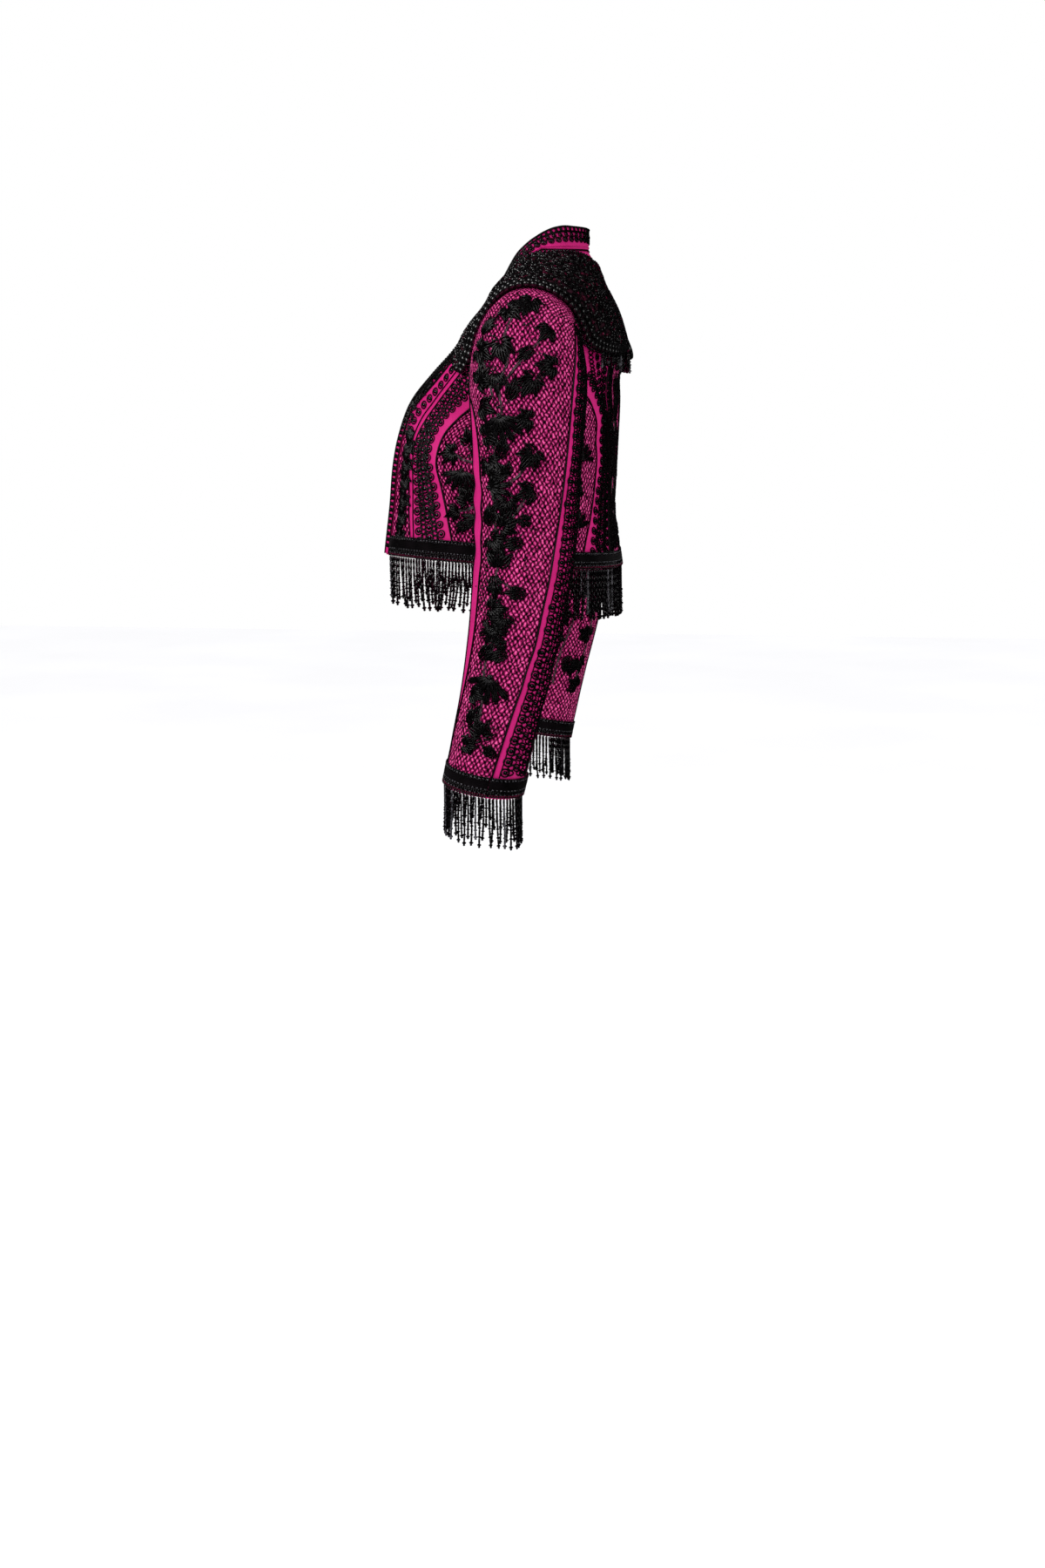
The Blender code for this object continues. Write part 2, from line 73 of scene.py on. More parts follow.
CHEST_Z = -204.0       # the front's net begins below this
YOKE_Z = -100.0        # and the back's net below this
UP = np.array([0, 0, 1.0])


class Table:
    """Sizes under named columns, read at any key along smooth curves through the rows."""

    def __init__(self, columns, rows):
        self.names = columns.split()
        self.rows = np.array(rows, dtype=float)
        self.keys = self.rows[:, 0]
        self.slopes = np.gradient(self.rows, self.keys, axis=0)

    def at(self, key):
        key = np.asarray(key, dtype=float)
        i = np.clip(np.searchsorted(self.keys, key) - 1, 0, len(self.keys) - 2)
        step = self.keys[i + 1] - self.keys[i]
        t = ((key - self.keys[i]) / step)[..., None]
        step = step[..., None]
        before = self.rows[i] * (1 + 2 * t) + self.slopes[i] * step * t
        after = self.rows[i + 1] * (3 - 2 * t) - self.slopes[i + 1] * step * (1 - t)
        values = before * (1 - t) ** 2 + after * t * t
        return {name: values[..., n] for n, name in enumerate(self.names)}


# The body of the jacket as level rings: half an ellipse in front, a squarer half behind.
TORSO = Table("z half_width front_reach back_reach back_power", [
    (-385, 161, 224, 91, 2.3),
    (-355, 159, 222, 87, 2.3),
    (-295, 154, 217, 80.5, 2.4),
    (-240, 149, 213.5, 80.5, 2.5),
    (-206, 145.5, 206, 79.5, 2.6),
    (-172, 146.5, 189.5, 82, 2.6),
    (-135, 167, 148.5, 84, 2.4),
    (-106, 187, 116, 84.5, 2.2),
    (-80, 199, 94, 83, 2.1),
    (-50, 197, 67, 77, 2),
    (-36, 184, 59.5, 71, 2),
    (-20, 147, 47, 62.5, 2),
    (-8, 115, 40.5, 58.5, 2),
    (12, 71, 30, 52, 2),
    (24, 56, 24, 44, 2)])

# Neckline and front edge, from the hem up to the top of the shoulder seam.
FRONT_EDGE = Table("z angle", [
    (-385, 21.6), (-355, 22), (-295, 22.7), (-240, 23.2), (-206, 24), (-172, 24.9),
    (-135, 27.5), (-106, 32.4), (-80, 37.5), (-38, 50.7), (-8, 67.4), (15, 90)])

# The seams that shape the fronts and the back over chest and shoulder blades.
SHAPING_SEAMS = Table("z front_angle back_angle", [
    (-385, 59.5, 111.2), (-345, 55.5, 114.8), (-302, 51.3, 120.6), (-270, 48.2, 124),
    (-238, 45.6, 125.6), (-205, 47.8, 126.9), (-186, 54.1, 124.9), (-170, 62, 121.1),
    (-146, 73.3, 107.3)])

HEM = Table("angle z band_height", [
    (20, -354.3, 24.5), (65, -361, 25.5), (110, -367.5, 20.5), (180, -371.5, 20)])

# Top edge of the standing collar, by the torso angle of the neckline below it.
COLLAR_TOP = Table("angle x y z", [
    (49, 66.5, -58.5, -39),
    (52, 66, -50, -28.5),
    (58, 64.5, -40, -10),
    (66, 64, -29, 8.5),
    (78, 63.5, -17, 21.5),
    (90, 61.5, -4.5, 32),
    (105, 56, 11, 41.5),
    (120, 48, 23.5, 46),
    (140, 35, 37, 47),
    (160, 19, 47, 47.5),
    (180, 0, 50, 47.5)])

# Sleeve rings from the shoulder cap to the wrist. roll turns a ring from standing
# in the armhole to lying across the arm, and pitch lifts its front edge.
SLEEVE = Table("ring x y z half_out half_deep roll pitch hind_angle", [
    (0, 165, 3, -106, 72.5, 56, 15, 0, -60),
    (1, 181.8, 3.5, -110.3, 73.7, 60, 24.2, 0, -60),
    (2, 193.5, 4, -120, 72.1, 63.5, 33.7, 0, -60),
    (3, 202.4, 4.5, -135.4, 68.6, 66, 44.3, 0, -59.8),
    (4, 207.1, 5, -154.6, 64, 66.5, 55.4, 0, -58),
    (5, 209.3, 5.2, -176, 60, 65.5, 67, 0, -56),
    (6, 210.8, 5.3, -202, 57.2, 63.5, 78, 0, -54.8),
    (7, 212, 5.3, -237.5, 56.3, 61.5, 87, 0, -52.5),
    (8, 215.5, 5, -290, 55, 59.5, 90, 1, -47),
    (9, 219, 2.5, -345, 53.5, 57, 90, 4, -42),
    (10, 223, -4, -400, 52, 54.2, 91, 7, -38),
    (11, 227.5, -10.5, -455, 50.5, 51.5, 92, 9, -32.5),
    (12, 232.5, -21, -515, 48.5, 47.5, 94, 10, -24.5),
    (13, 237.5, -32.5, -570, 46, 46, 95, 10, -18),
    (14, 242.5, -44, -622, 43.5, 44.8, 95, 9, -13)])

# Shoulder piece: crossways rows from the point on the chest, over the shoulder,
# to the lobe on the shoulder blade. The lip reaches past the armhole over the sleeve.
SHOULDER_PIECE = Table("row in_angle in_z out_angle out_z arm_angle lip", [
    (0, 53.5, -130, 58, -133, 90, 0),
    (1, 50.5, -112, 64, -116, 90, 0),
    (2, 48, -88, 68, -87, 75, 0.5),
    (3, 52.5, -55, 73.5, -63, 52, 3),
    (4, 65, -22, 81, -43, 26, 6),
    (5, 79, 2, 90, -36, 0, 8),
    (6, 100, 9, 98, -42, -22, 8),
    (7, 128, 10, 105, -57, -45, 7),
    (8, 152, 4, 109, -76, -64, 5),
    (9, 165, -12, 112, -95, -80, 1.5),
    (10, 171.5, -40, 122, -105, -90, 0),
    (11, 174, -70, 142, -107, -90, 0),
    (12, 172, -98, 160, -103, -90, 0)])


def mix(a, b, t):
    return a + (b - a) * t


def ramp(value, low, high):
    """0 below low, 1 above high, and a smooth rise between them."""
    t = np.clip((value - low) / (high - low), 0, 1)
    return t * t * (3 - 2 * t)


def unit(v):
    return v / np.maximum(np.linalg.norm(v, axis=-1, keepdims=True), 1e-9)


def gaps(points, axis=0):
    """Distances between neighbours in a row or a grid of points."""
    return np.linalg.norm(np.diff(points, axis=axis), axis=-1)


def running(points):
    """Length along a row of points, up to each of them."""
    return np.concatenate([[0], np.cumsum(gaps(points))])


def sine(angle):
    return np.sin(np.radians(angle))


def cosine(angle):
    return np.cos(np.radians(angle))


def point_of(row):
    return np.stack([row["x"], row["y"], row["z"]], -1)


def torso(angle, z):
    """A point on the inner face of the body, by its angle and height."""
    row = TORSO.at(z)
    across, along = sine(angle), -cosine(angle)
    behind = along > 0
    reach = np.where(behind, row["back_reach"], row["front_reach"])
    power = np.where(behind, row["back_power"], 2.0)
    shape = np.abs(across / row["half_width"]) ** power + np.abs(along / reach) ** power
    radius = shape ** (-1 / power)
    return np.stack([radius * across, SIDE_Y + radius * along, z + 0 * radius], -1)


def armhole(arm_angle):
    """Where the armhole seam runs on the body, as a torso angle and a height."""
    return (90 - ARMHOLE_SWING * sine(arm_angle),
            ARMHOLE_MIDDLE + ARMHOLE_HALF_HEIGHT * cosine(arm_angle))


def sleeve_ring(arm_angle, ring):
    """A point on one of the sleeve's elliptical rings."""
    row = SLEEVE.at(ring)
    zero = 0 * row["roll"]
    outward = np.stack([sine(row["roll"]), zero, cosine(row["roll"])], -1)
    forward = np.stack([zero, -cosine(row["pitch"]), sine(row["pitch"])], -1)
    return (point_of(row) + outward * (row["half_out"] * cosine(arm_angle))[..., None]
            + forward * (row["half_deep"] * sine(arm_angle))[..., None])


def sleeve(arm_angle, ring):
    """A point on the inner face of the sleeve, which starts along the armhole seam."""
    arm_angle, ring = np.broadcast_arrays(np.asarray(arm_angle, float), np.asarray(ring, float))
    ease = 0.5 + CLOTH * (1 - cosine(arm_angle)) / 2
    seam = torso(*armhole(arm_angle))
    first = sleeve_ring(arm_angle, 1 + 0 * ring)
    start = seam + unit(first - seam) * ease[..., None]
    head = start + (first - start) * ring[..., None]
    return np.where((ring < 1)[..., None], head, sleeve_ring(arm_angle, ring))


def neck_z(angle):
    """Height of the neckline seam, behind the shoulder seams and down the front edge."""
    heights = np.linspace(-260, 15, 200)
    before = np.interp(angle, FRONT_EDGE.at(heights)["angle"], heights)
    return np.where(angle >= 90, FRONT_EDGE.keys[-1] + NECK_RISE * sine(angle - 90) ** 2, before)


def collar(angle, rise):
    """A point on the inner face of the standing collar, by its place on the neckline."""
    near = np.minimum(angle, 360 - angle)
    base = torso(near, neck_z(near))
    top = point_of(COLLAR_TOP.at(near))
    base = base + unit(top - base) * (CLOTH + LAY_GAP)
    point = mix(base, top, np.asarray(rise)[..., None])
    return point * np.stack([np.where(angle > 180, -1, 1), 1 + 0 * near, 1 + 0 * near], -1)


def lobe_stand(angle, z):
    """How far the back lobe of a shoulder piece stands off, growing downwards from its root."""
    down = np.clip((-z - 35) / 70, 0, 1)
    behind = np.clip((angle - 105) / 25, 0, 1)
    return LOBE_STAND * down ** 1.4 * behind


def shoulder(across, row):
    """A point on the underside of a shoulder piece, from its neck side to its outer edge."""
    across, row = np.broadcast_arrays(np.asarray(across, float), np.asarray(row, float))
    size = SHOULDER_PIECE.at(row)
    angle = mix(size["in_angle"], size["out_angle"], across)
    z = mix(size["in_z"], size["out_z"], across)
    point = BODY.lift(angle, z, PLATE_LIFT + lobe_stand(angle, z))
    seam = torso(*armhole(size["arm_angle"]))
    arm = unit(sleeve_ring(size["arm_angle"], 1 + 0 * row) - seam)
    return point + arm * (size["lip"] * across ** 4)[..., None]


class Face:
    """The inner face of some cloth, with two coordinates of its own, and places above it."""

    def __init__(self, place, first_step, second_step):
        self.place = place
        self.steps = first_step, second_step

    def slopes(self, a, b):
        da, db = self.steps
        return ((self.place(a + da, b) - self.place(a - da, b)) / (2 * da),
                (self.place(a, b + db) - self.place(a, b - db)) / (2 * db))

    def normal(self, a, b):
        return unit(np.cross(*self.slopes(a, b)))

    def lift(self, a, b, height):
        """Points at a height over the face."""
        return self.place(a, b) + self.normal(a, b) * np.asarray(height)[..., None]

    def shift(self, a, b, along, x, y):
        """Coordinates of what lies x ahead of a place and y to its left, measured on the cloth."""
        first, second = self.slopes(a, b)
        normal = unit(np.cross(first, second))
        along = unit(along - normal * (along * normal).sum(-1, keepdims=True))
        step = along * x[..., None] + np.cross(normal, along) * y[..., None]
        aa, ab, bb, pa, pb = (
            (p * q).sum(-1) for p, q in ((first, first), (first, second), (second, second),
                                         (first, step), (second, step)))
        whole = aa * bb - ab * ab
        return a + (bb * pa - ab * pb) / whole, b + (aa * pb - ab * pa) / whole


BODY = Face(torso, 0.5, 0.5)
ARM = Face(sleeve, 0.5, 0.02)
NECK = Face(collar, 0.5, 0.03)
SHOULDER = Face(shoulder, 0.02, 0.1)


class Line:
    """A smooth line on a face through a few places, read by its length in millimetres."""

    def __init__(self, face, places):
        places = np.array(places, dtype=float)
        curve = Table("s a b", np.column_stack([running(face.place(*places.T)), places]))
        fine = curve.at(np.linspace(0, curve.keys[-1], 30 * len(places)))
        self.face, self.a, self.b = face, fine["a"], fine["b"]
        self.lengths = running(face.place(self.a, self.b))
        self.length = self.lengths[-1]

    def at(self, s):
        return np.interp(s, self.lengths, self.a), np.interp(s, self.lengths, self.b)

    def along(self, s):
        """The direction in which the line runs."""
        ahead = self.face.place(*self.at(np.minimum(s + 1, self.length)))
        return unit(ahead - self.face.place(*self.at(np.maximum(s - 1, 0))))

    def beside(self, s, y):
        """Coordinates of places beside the line, y to its left."""
        return self.face.shift(*self.at(s), self.along(s), 0 * s, y + 0 * s)


# Finishes ---------------------------------------------------------------------
def linear(colour):
    """A hex sRGB colour as linear light."""
    parts = [int(colour[i:i + 2], 16) / 255 for i in (1, 3, 5)]
    return tuple(p / 12.92 if p <= 0.04045 else ((p + 0.055) / 1.055) ** 2.4 for p in parts) + (1,)


def add(tree, kind, sockets=None, **settings):
    """Adds a node. A socket is given a value, or the output that feeds it."""
    made = tree.nodes.new("ShaderNode" + kind)
    for key, value in settings.items():
        setattr(made, key, value)
    for key, value in (sockets or {}).items():
        if isinstance(value, bpy.types.NodeSocket):
            tree.links.new(value, made.inputs[key])
        else:
            made.inputs[key].default_value = value
    return made


def blend(tree, factor, first, second):
    """The output of a colour mixed from two others."""
    mixed = add(tree, "Mix", {0: factor, 6: first, 7: second}, data_type="RGBA")
    return mixed.outputs[2]


def spread(tree, value, low=0.0, high=1.0, first=0.0, last=1.0):
    """A value between low and high, as one between first and last."""
    return add(tree, "MapRange", {"Value": value, "From Min": low, "From Max": high,
                                  "To Min": first, "To Max": last}).outputs["Result"]


def noise(tree, place, scale, detail=2.0):
    return add(tree, "TexNoise", {"Vector": place, "Scale": scale, "Detail": detail}).outputs


def bump(tree, height, depth, strength=1.0, **under):
    """The normal of a relief so many millimetres deep, on that of what lies under it."""
    sockets = {"Height": height, "Distance": depth * MM, "Strength": strength, **under}
    return add(tree, "Bump", sockets).outputs["Normal"]


def finish(name, colour, sockets, grain=None, shade=None):
    """A material in one colour, uneven over shade = (size in mm, darker colour), with a grain
    of grain = (size in mm, depth in mm)."""
    material = bpy.data.materials.new(name)
    material.use_nodes = True
    tree = material.node_tree
    shader = tree.nodes["Principled BSDF"]
    for key, value in sockets.items():
        shader.inputs[key].default_value = value
    shader.inputs["Base Color"].default_value = linear(colour)
    place = add(tree, "TexCoord").outputs["Object"]
    if shade:
        patches = spread(tree, noise(tree, place, 1000 / shade[0])["Fac"], 0.35, 0.65)
        tree.links.new(blend(tree, patches, linear(shade[1]), linear(colour)),
                       shader.inputs["Base Color"])
    if grain:
        grit = noise(tree, place, 1000 / grain[0], 3.0)["Fac"]
        tree.links.new(bump(tree, grit, grain[1]), shader.inputs["Normal"])
    return material


def netted_satin():
    """Duchess satin, puffed through a black cord net: a dark cord line and a thicker knot where
    the net pulls the cloth down, painted shade deepening towards them, and a painted
    highlight on the crown of each puff. Outside the net it is smooth, with the long soft
    gloss of a satin face."""
    material = finish("netted duchess satin", MAGENTA, {
        "Roughness": 0.42, "Specular IOR Level": 0.3, "Specular Tint": linear("#FF9CD0")})
    tree = material.node_tree
    shader = tree.nodes["Principled BSDF"]
    place = add(tree, "TexCoord").outputs["Object"]
    cells = add(tree, "SeparateXYZ", {0: add(tree, "UVMap", uv_map="cells").outputs["UV"]})
    border = add(tree, "Attribute", attribute_name="net_border").outputs["Fac"]

    def calculate(operation, first, second=0.0):
        return add(tree, "Math", {0: first, 1: second}, operation=operation).outputs[0]

    # The net was knotted by hand, so its cells are a little uneven.
    wander = add(tree, "SeparateXYZ", {0: noise(tree, place, 190.0, 1.0)["Color"]})
    across, down = (calculate("ADD", cells.outputs[k],
                              calculate("MULTIPLY", wander.outputs[k], NET_WANDER)) for k in (0, 1))
    waves = []
    for diagonal in (calculate("ADD", across, down), calculate("SUBTRACT", across, down)):
        turn = calculate("MULTIPLY", diagonal, math.pi)
        waves.append(calculate("ABSOLUTE", calculate("SINE", turn)))
    crown = calculate("MULTIPLY", *waves)
    knots = calculate("MULTIPLY", calculate("ADD", *waves), 0.35)
    inside = spread(tree, border)
    uneven = calculate("MULTIPLY", noise(tree, place, 140.0)["Fac"], 0.7)
    drawn = calculate("ADD", calculate("MULTIPLY", crown, 0.3), knots)
    drawn = calculate("SUBTRACT", calculate("ADD", drawn, uneven), 0.35)

    # The net is silk cord about 0.8 mm thick, and thicker where it is knotted. Painted shade
    # spreads from the cords into the cloth, and a painted highlight sits on each puff's crown.
    cord, painted_shade, painted_highlight = (
        calculate("MULTIPLY", spread(tree, drawn, *limits), inside)
        for limits in ((*NET_CORD, 1.0, 0.0), (0.3, 0.9, 1.0, 0.0), (0.74, 1.0, 0.0, 0.8)))
    patches = noise(tree, place, 25.0)["Fac"]
    ground = blend(tree, patches, linear(MAGENTA_DEEP), linear(MAGENTA))
    # Painted shade between the puffs, darkest beside the cords and knots.
    ground = blend(tree, painted_shade, ground, linear(MAGENTA_PAINTED_SHADE))
    # Painted highlight on the crown of each puff.
    ground = blend(tree, painted_highlight, ground, linear(MAGENTA_PAINTED_HIGHLIGHT))
    ground = blend(tree, cord, ground, linear(CORD_BLACK))

    # Warp threads are 0.1 mm apart. They are drawn 1.2 mm apart here, so that they show.
    threads = add(tree, "TexWave", {"Vector": place, "Scale": 262.0, "Distortion": 3.0,
                                    "Detail": 2.0}, bands_direction="DIAGONAL")
    puffed = calculate("MULTIPLY", calculate("POWER", crown, 0.6), inside)
    relief = bump(tree, puffed, 3.0)
    # Where it is left plain, the satin ripples softly, mostly up and down.
    long = add(tree, "Mapping", {"Vector": place, "Scale": (1.0, 1.0, 0.35)}).outputs["Vector"]
    soft = bump(tree, noise(tree, long, 62.0, 1.0)["Fac"], 5.0, 0.6, Normal=relief)
    woven = bump(tree, threads.outputs["Fac"], 0.02, Normal=soft)
    for output, socket in ((ground, "Base Color"), (woven, "Normal"),
                           (spread(tree, cord, first=0.42, last=0.6), "Roughness"),
                           (spread(tree, cord, first=0.3, last=0.05), "Specular IOR Level")):
        tree.links.new(output, shader.inputs[socket])
    return material


MAGENTA = "#CA2378"
MAGENTA_DEEP = "#B51465"
# Colour of the painted shade between the puffs.
MAGENTA_PAINTED_SHADE = "#36021E"
# Colour of the painted highlight on the puffs' crowns.
MAGENTA_PAINTED_HIGHLIGHT = "#FF68AE"
CORD_BLACK = "#0B0709"
NET_CORD = (0.17, 0.46)     # how far up its puffs the net's cords reach
NET_WANDER = 0.8

SATIN = netted_satin()

# Cotton sateen, dyed to the satin: an even, quiet gloss, a little darker than the outside.
LINING = finish("cotton sateen lining", "#8E1453", {"Roughness": 0.6, "Specular IOR Level": 0.3},
                grain=(1.5, 0.04), shade=(70, "#7A0F46"))

# Soutache braid, two silky ribs side by side: black with a soft line of light along it.
BRAID = finish("black soutache braid", CORD_BLACK, {"Roughness": 0.36, "Specular IOR Level": 0.25},
               grain=(1.2, 0.12), shade=(9, "#050304"))

# Polished black glass, moulded: sharp small lights on deep black.
JET = finish("jet glass beads", "#050405", {"Roughness": 0.14, "IOR": 1.66},
             grain=(1.6, 0.05), shade=(5, "#0A080A"))

# Large round beads of black glass, worn a little dull: each shows one soft grey light.
POLISHED = finish("large black glass beads", "#070607", {"Roughness": 0.3, "IOR": 2.0},
                  grain=(3, 0.04), shade=(9, "#0D0B0D"))

# Rows of cut seed beads: black, with a fine broken glitter.
CUT_BEADS = finish("cut black seed beads", "#050404",
                   {"Roughness": 0.2, "Specular IOR Level": 0.26},
                   grain=(1.3, 0.25), shade=(4, "#0E0C0E"))

# Smoke-grey glass tubes with silvered holes: thin grey glints between black ones.
SMOKE = finish("smoke grey bugle beads", "#7C7A80",
               {"Roughness": 0.2, "IOR": 1.54, "Metallic": 0.5},
               grain=(2, 0.1), shade=(3, "#1A191C"))

# Oxidised silver wire thread, couched down: a thin grey, slightly metallic line.
WIRE = finish("oxidised silver thread", "#6E696A", {"Roughness": 0.38, "Metallic": 0.6},
              grain=(1, 0.1), shade=(6, "#1E1B1D"))

# Garnet-red glass: nearly black, with a wine-red glow where light passes.
GARNET = finish("garnet glass beads", "#520826", {"Roughness": 0.16, "IOR": 1.5},
                grain=(1.6, 0.06), shade=(4, "#2C0514"))

# Silk velvet, cropped short: it takes nearly all light and gives a faint bloom at its edges.
VELVET = finish("black silk velvet", "#040203",
                {"Roughness": 0.8, "Specular IOR Level": 0.06, "Sheen Weight": 0.02,
                 "Sheen Roughness": 0.4}, grain=(1.4, 0.2), shade=(16, "#0B0609"))

# Stiffened black lace, doubled: dull black, wine-red where the satin under it shows through.
LACE = finish("black lace over magenta", "#300519", {"Roughness": 0.9, "Specular IOR Level": 0.2},
              grain=(2.2, 0.4), shade=(11, "#060305"))

# Studio floor paint: matt, nearly white.
FLOOR = finish("matt studio paint", "#FAFAFB", {"Roughness": 0.8, "Specular IOR Level": 0.1},
               grain=(4, 0.02), shade=(900, "#F7F7F8"))


# How a piece is put together ------------------------------------------------------
# Soft hollows in the finished jacket, on both sides unevenly: x, y, z, their reach upwards and
# around, their depth (swells have it negative), and the x and y of the way they press.
HOLLOWS = [
    (214, -55, -262, 12, 60, 1.6, -0.2, 1),
    (217, -55, -296, 11, 55, 1.3, -0.2, 1),
    (222, -58, -338, 14, 50, 1.1, -0.3, 1),
    (165, -20, -250, 14, 55, 2.4, 1, 0.2),
    (262, 30, -330, 24, 45, 1.6, -1, -0.4),
    (240, 28, -470, 16, 50, 2.0, -0.6, -1),
    (150, 10, -235, 18, 60, 2.2, -1, 0.1),
    (110, 70, -215, 15, 60, 2.0, -0.3, -1),
    (60, 84, -150, 26, 60, 1.8, 0.1, -1),
    (120, -120, -235, 26, 60, -1.6, -0.6, 1),
    (-216, -55, -272, 12, 60, 1.6, 0.3, 1),
    (-219, -52, -312, 12, 55, 1.4, 0.2, 1),
    (-262, 26, -350, 26, 45, 1.7, 1, -0.4),
    (-163, -18, -262, 15, 55, 2.2, -1, 0.2),
    (-148, 12, -222, 17, 60, 2.3, 1, 0.1),
    (-100, 76, -205, 17, 60, 2.1, 0.3, -1),
    (-65, 84, -165, 24, 60, 1.5, 0, -1),
    (-116, -125, -245, 24, 60, -1.5, 0.6, 1),
    (-236, -88, -520, 18, 50, 1.6, 0.1, 1)]


def eased(points):
    """Points after the jacket has hung for a while, moved by up to about 3 mm."""
    x, y, z = np.moveaxis(points, -1, 0)
    moved = np.stack([
        0.55 * np.sin(z / 31 + y / 47 + 1.1) + 0.45 * np.sin(z / 67 - y / 53 + x / 90),
        0.55 * np.sin(z / 37 + x / 41 + 0.4) + 0.4 * np.sin(z / 83 + x / 61 + 2.0),
        0.4 * np.sin(x / 43 - y / 39)], -1)
    for cx, cy, cz, up, around, depth, to_x, to_y in HOLLOWS:
        level = (z - cz + 0.25 * (x - cx) + 0.2 * (y - cy)) / up
        near = np.exp(-((x - cx) ** 2 + (y - cy) ** 2) / around ** 2)
        press = depth * near * (1 - 0.9 * level ** 2) * np.exp(-0.5 * level ** 2)
        moved += press[..., None] * (np.array([to_x, to_y, 0]) / math.hypot(to_x, to_y))
    return points + moved


class Piece:
    """One piece of the jacket, gathered from many small parts and made as one mesh."""

    def __init__(self, name, *finishes):
        self.name, self.finishes = name, finishes
        self.points, self.loops, self.sizes, self.marks, self.count = [], [], [], [], 0

    def add(self, points, loops, sizes, mark=0):
        """Copies of one shape: points (copies, points, 3), and the faces of a single copy,
        each in the finish of its mark."""
        points = np.asarray(points, dtype=float)
        points = points.reshape(-1, points.shape[-2], 3)
        copies, size = points.shape[:2]
        starts = self.count + size * np.arange(copies)
        self.points.append(points.reshape(-1, 3))
        self.loops.append((starts[:, None] + np.asarray(loops)[None, :]).ravel())
        self.sizes.append(np.tile(sizes, copies))
        self.marks.append(np.tile(np.broadcast_to(mark, len(sizes)), copies))
        self.count += copies * size

    def make(self, side=1):
        """The finished mesh object. side -1 makes the wearer's right-hand one."""
        points, loops, sizes, marks = (
            np.concatenate(part) for part in (self.points, self.loops, self.sizes, self.marks))
        if side < 0:
            loops, sizes, marks = loops[::-1], sizes[::-1], marks[::-1]
        mesh = bpy.data.meshes.new(self.name)
        mesh.vertices.add(len(points))
        mesh.vertices.foreach_set("co", (eased(points * (side, 1, 1)) * MM).ravel())
        mesh.loops.add(len(loops))
        mesh.loops.foreach_set("vertex_index", np.ascontiguousarray(loops, dtype=np.int32))
        mesh.polygons.add(len(sizes))
        starts = np.concatenate([[0], np.cumsum(sizes)[:-1]])
        mesh.polygons.foreach_set("loop_start", starts.astype(np.int32))
        for material in self.finishes:
            mesh.materials.append(material)
        mesh.polygons.foreach_set("material_index", np.ascontiguousarray(marks, dtype=np.int32))
        mesh.update(calc_edges=True)
        mesh.shade_smooth()
        made = bpy.data.objects.new(self.name, mesh)
        bpy.context.scene.collection.objects.link(made)
        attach(made, "root")
        return made


def quads(grid):
    """The faces between the points of a grid, which is given as their numbers."""
    return np.stack([grid[:-1, :-1], grid[1:, :-1], grid[1:, 1:], grid[:-1, 1:]], -1).reshape(-1, 4)


def rim(grid):
    """The numbers round the edge of a grid, in order."""
    return np.concatenate([grid[0, :-1], grid[:-1, -1], grid[-1, :0:-1], grid[:0:-1, 0]])


def tube(count, sides):
    """Corners and sizes of the faces of a cord: rings of points, and an end at each end."""
    rings = np.arange(count * sides).reshape(count, sides)
    walls = np.stack([rings[:-1], rings[1:], np.roll(rings[1:], -1, 1),
                      np.roll(rings[:-1], -1, 1)], -1)
    return (np.concatenate([walls.ravel(), rings[0], rings[-1, ::-1]]),
            [4] * ((count - 1) * sides) + [sides, sides])


def sweep(piece, points, normals, wide, high, sides=5, mark=0):
    """Cords along lines of points (cords, points, 3), as wide and high as told each way."""
    points = np.asarray(points, dtype=float).reshape((-1,) + np.shape(points)[-2:])
    along = np.gradient(points, axis=1)
    across = unit(np.cross(np.broadcast_to(normals, points.shape), unit(along)))
    up = unit(np.cross(along, across))
    turn = np.linspace(0, 2 * np.pi, sides, endpoint=False)
    high, wide = (np.broadcast_to(v, points.shape[:2])[..., None, None] for v in (high, wide))
    rings = (points[:, :, None] + up[:, :, None] * high * np.cos(turn)[:, None]
             + across[:, :, None] * wide * np.sin(turn)[:, None])
    count = points.shape[1]
    piece.add(rings.reshape(len(points), count * sides, 3), *tube(count, sides), mark)


class Shape:
    """A small shape in millimetres, modelled once and copied many times."""

    def __init__(self, points, loops, sizes):
        self.points, self.loops, self.sizes = np.asarray(points, float), loops, sizes

    @classmethod
    def taken(cls, made):
        """The shape of a modelled object, which is then put away."""
        bpy.ops.object.mode_set(mode="OBJECT")
        mesh = made.data
        points = [made.matrix_world @ v.co for v in mesh.vertices]
        loops = [v for polygon in mesh.polygons for v in polygon.vertices]
        shape = cls(points, loops, [len(polygon.vertices) for polygon in mesh.polygons])
        bpy.data.objects.remove(made, do_unlink=True)
        return shape

    @classmethod
    def joined(cls, piece):
        return cls(*(np.concatenate(part) for part in (piece.points, piece.loops, piece.sizes)))

    def lay(self, piece, face, a, b, along, size=1.0, height=0.0, mark=0):
        """Lays a copy on a face at each place (a, b), pointing along, bent to the cloth. size
        is one for all, one for each copy, or one for each way."""
        a, b = np.broadcast_arrays(np.atleast_1d(np.asarray(a, float)), np.asarray(b, float))
        size = np.asarray(size, float)
        if size.shape == (len(a),):
            size = size[:, None]
        size = np.broadcast_to(size, (len(a), 3))
        x, y, z = np.moveaxis(self.points[None] * size[:, None, :], -1, 0)
        a, b = face.shift(a[:, None], b[:, None], along[:, None, :], x, y)
        points = face.lift(a, b, z + height)
        piece.add(points, self.loops, self.sizes, mark)


def afresh():
    for other in bpy.context.selected_objects:
        other.select_set(False)


def pick(chosen):
    """Selects in edit mode the points of the active mesh that chosen(place) is true of."""
    bpy.ops.mesh.select_mode(type="VERT")
    bpy.ops.mesh.select_all(action="DESELECT")
    bpy.ops.object.mode_set(mode="OBJECT")
    for vertex in bpy.context.object.data.vertices:
        vertex.select = bool(chosen(vertex.co))
    bpy.ops.object.mode_set(mode="EDIT")


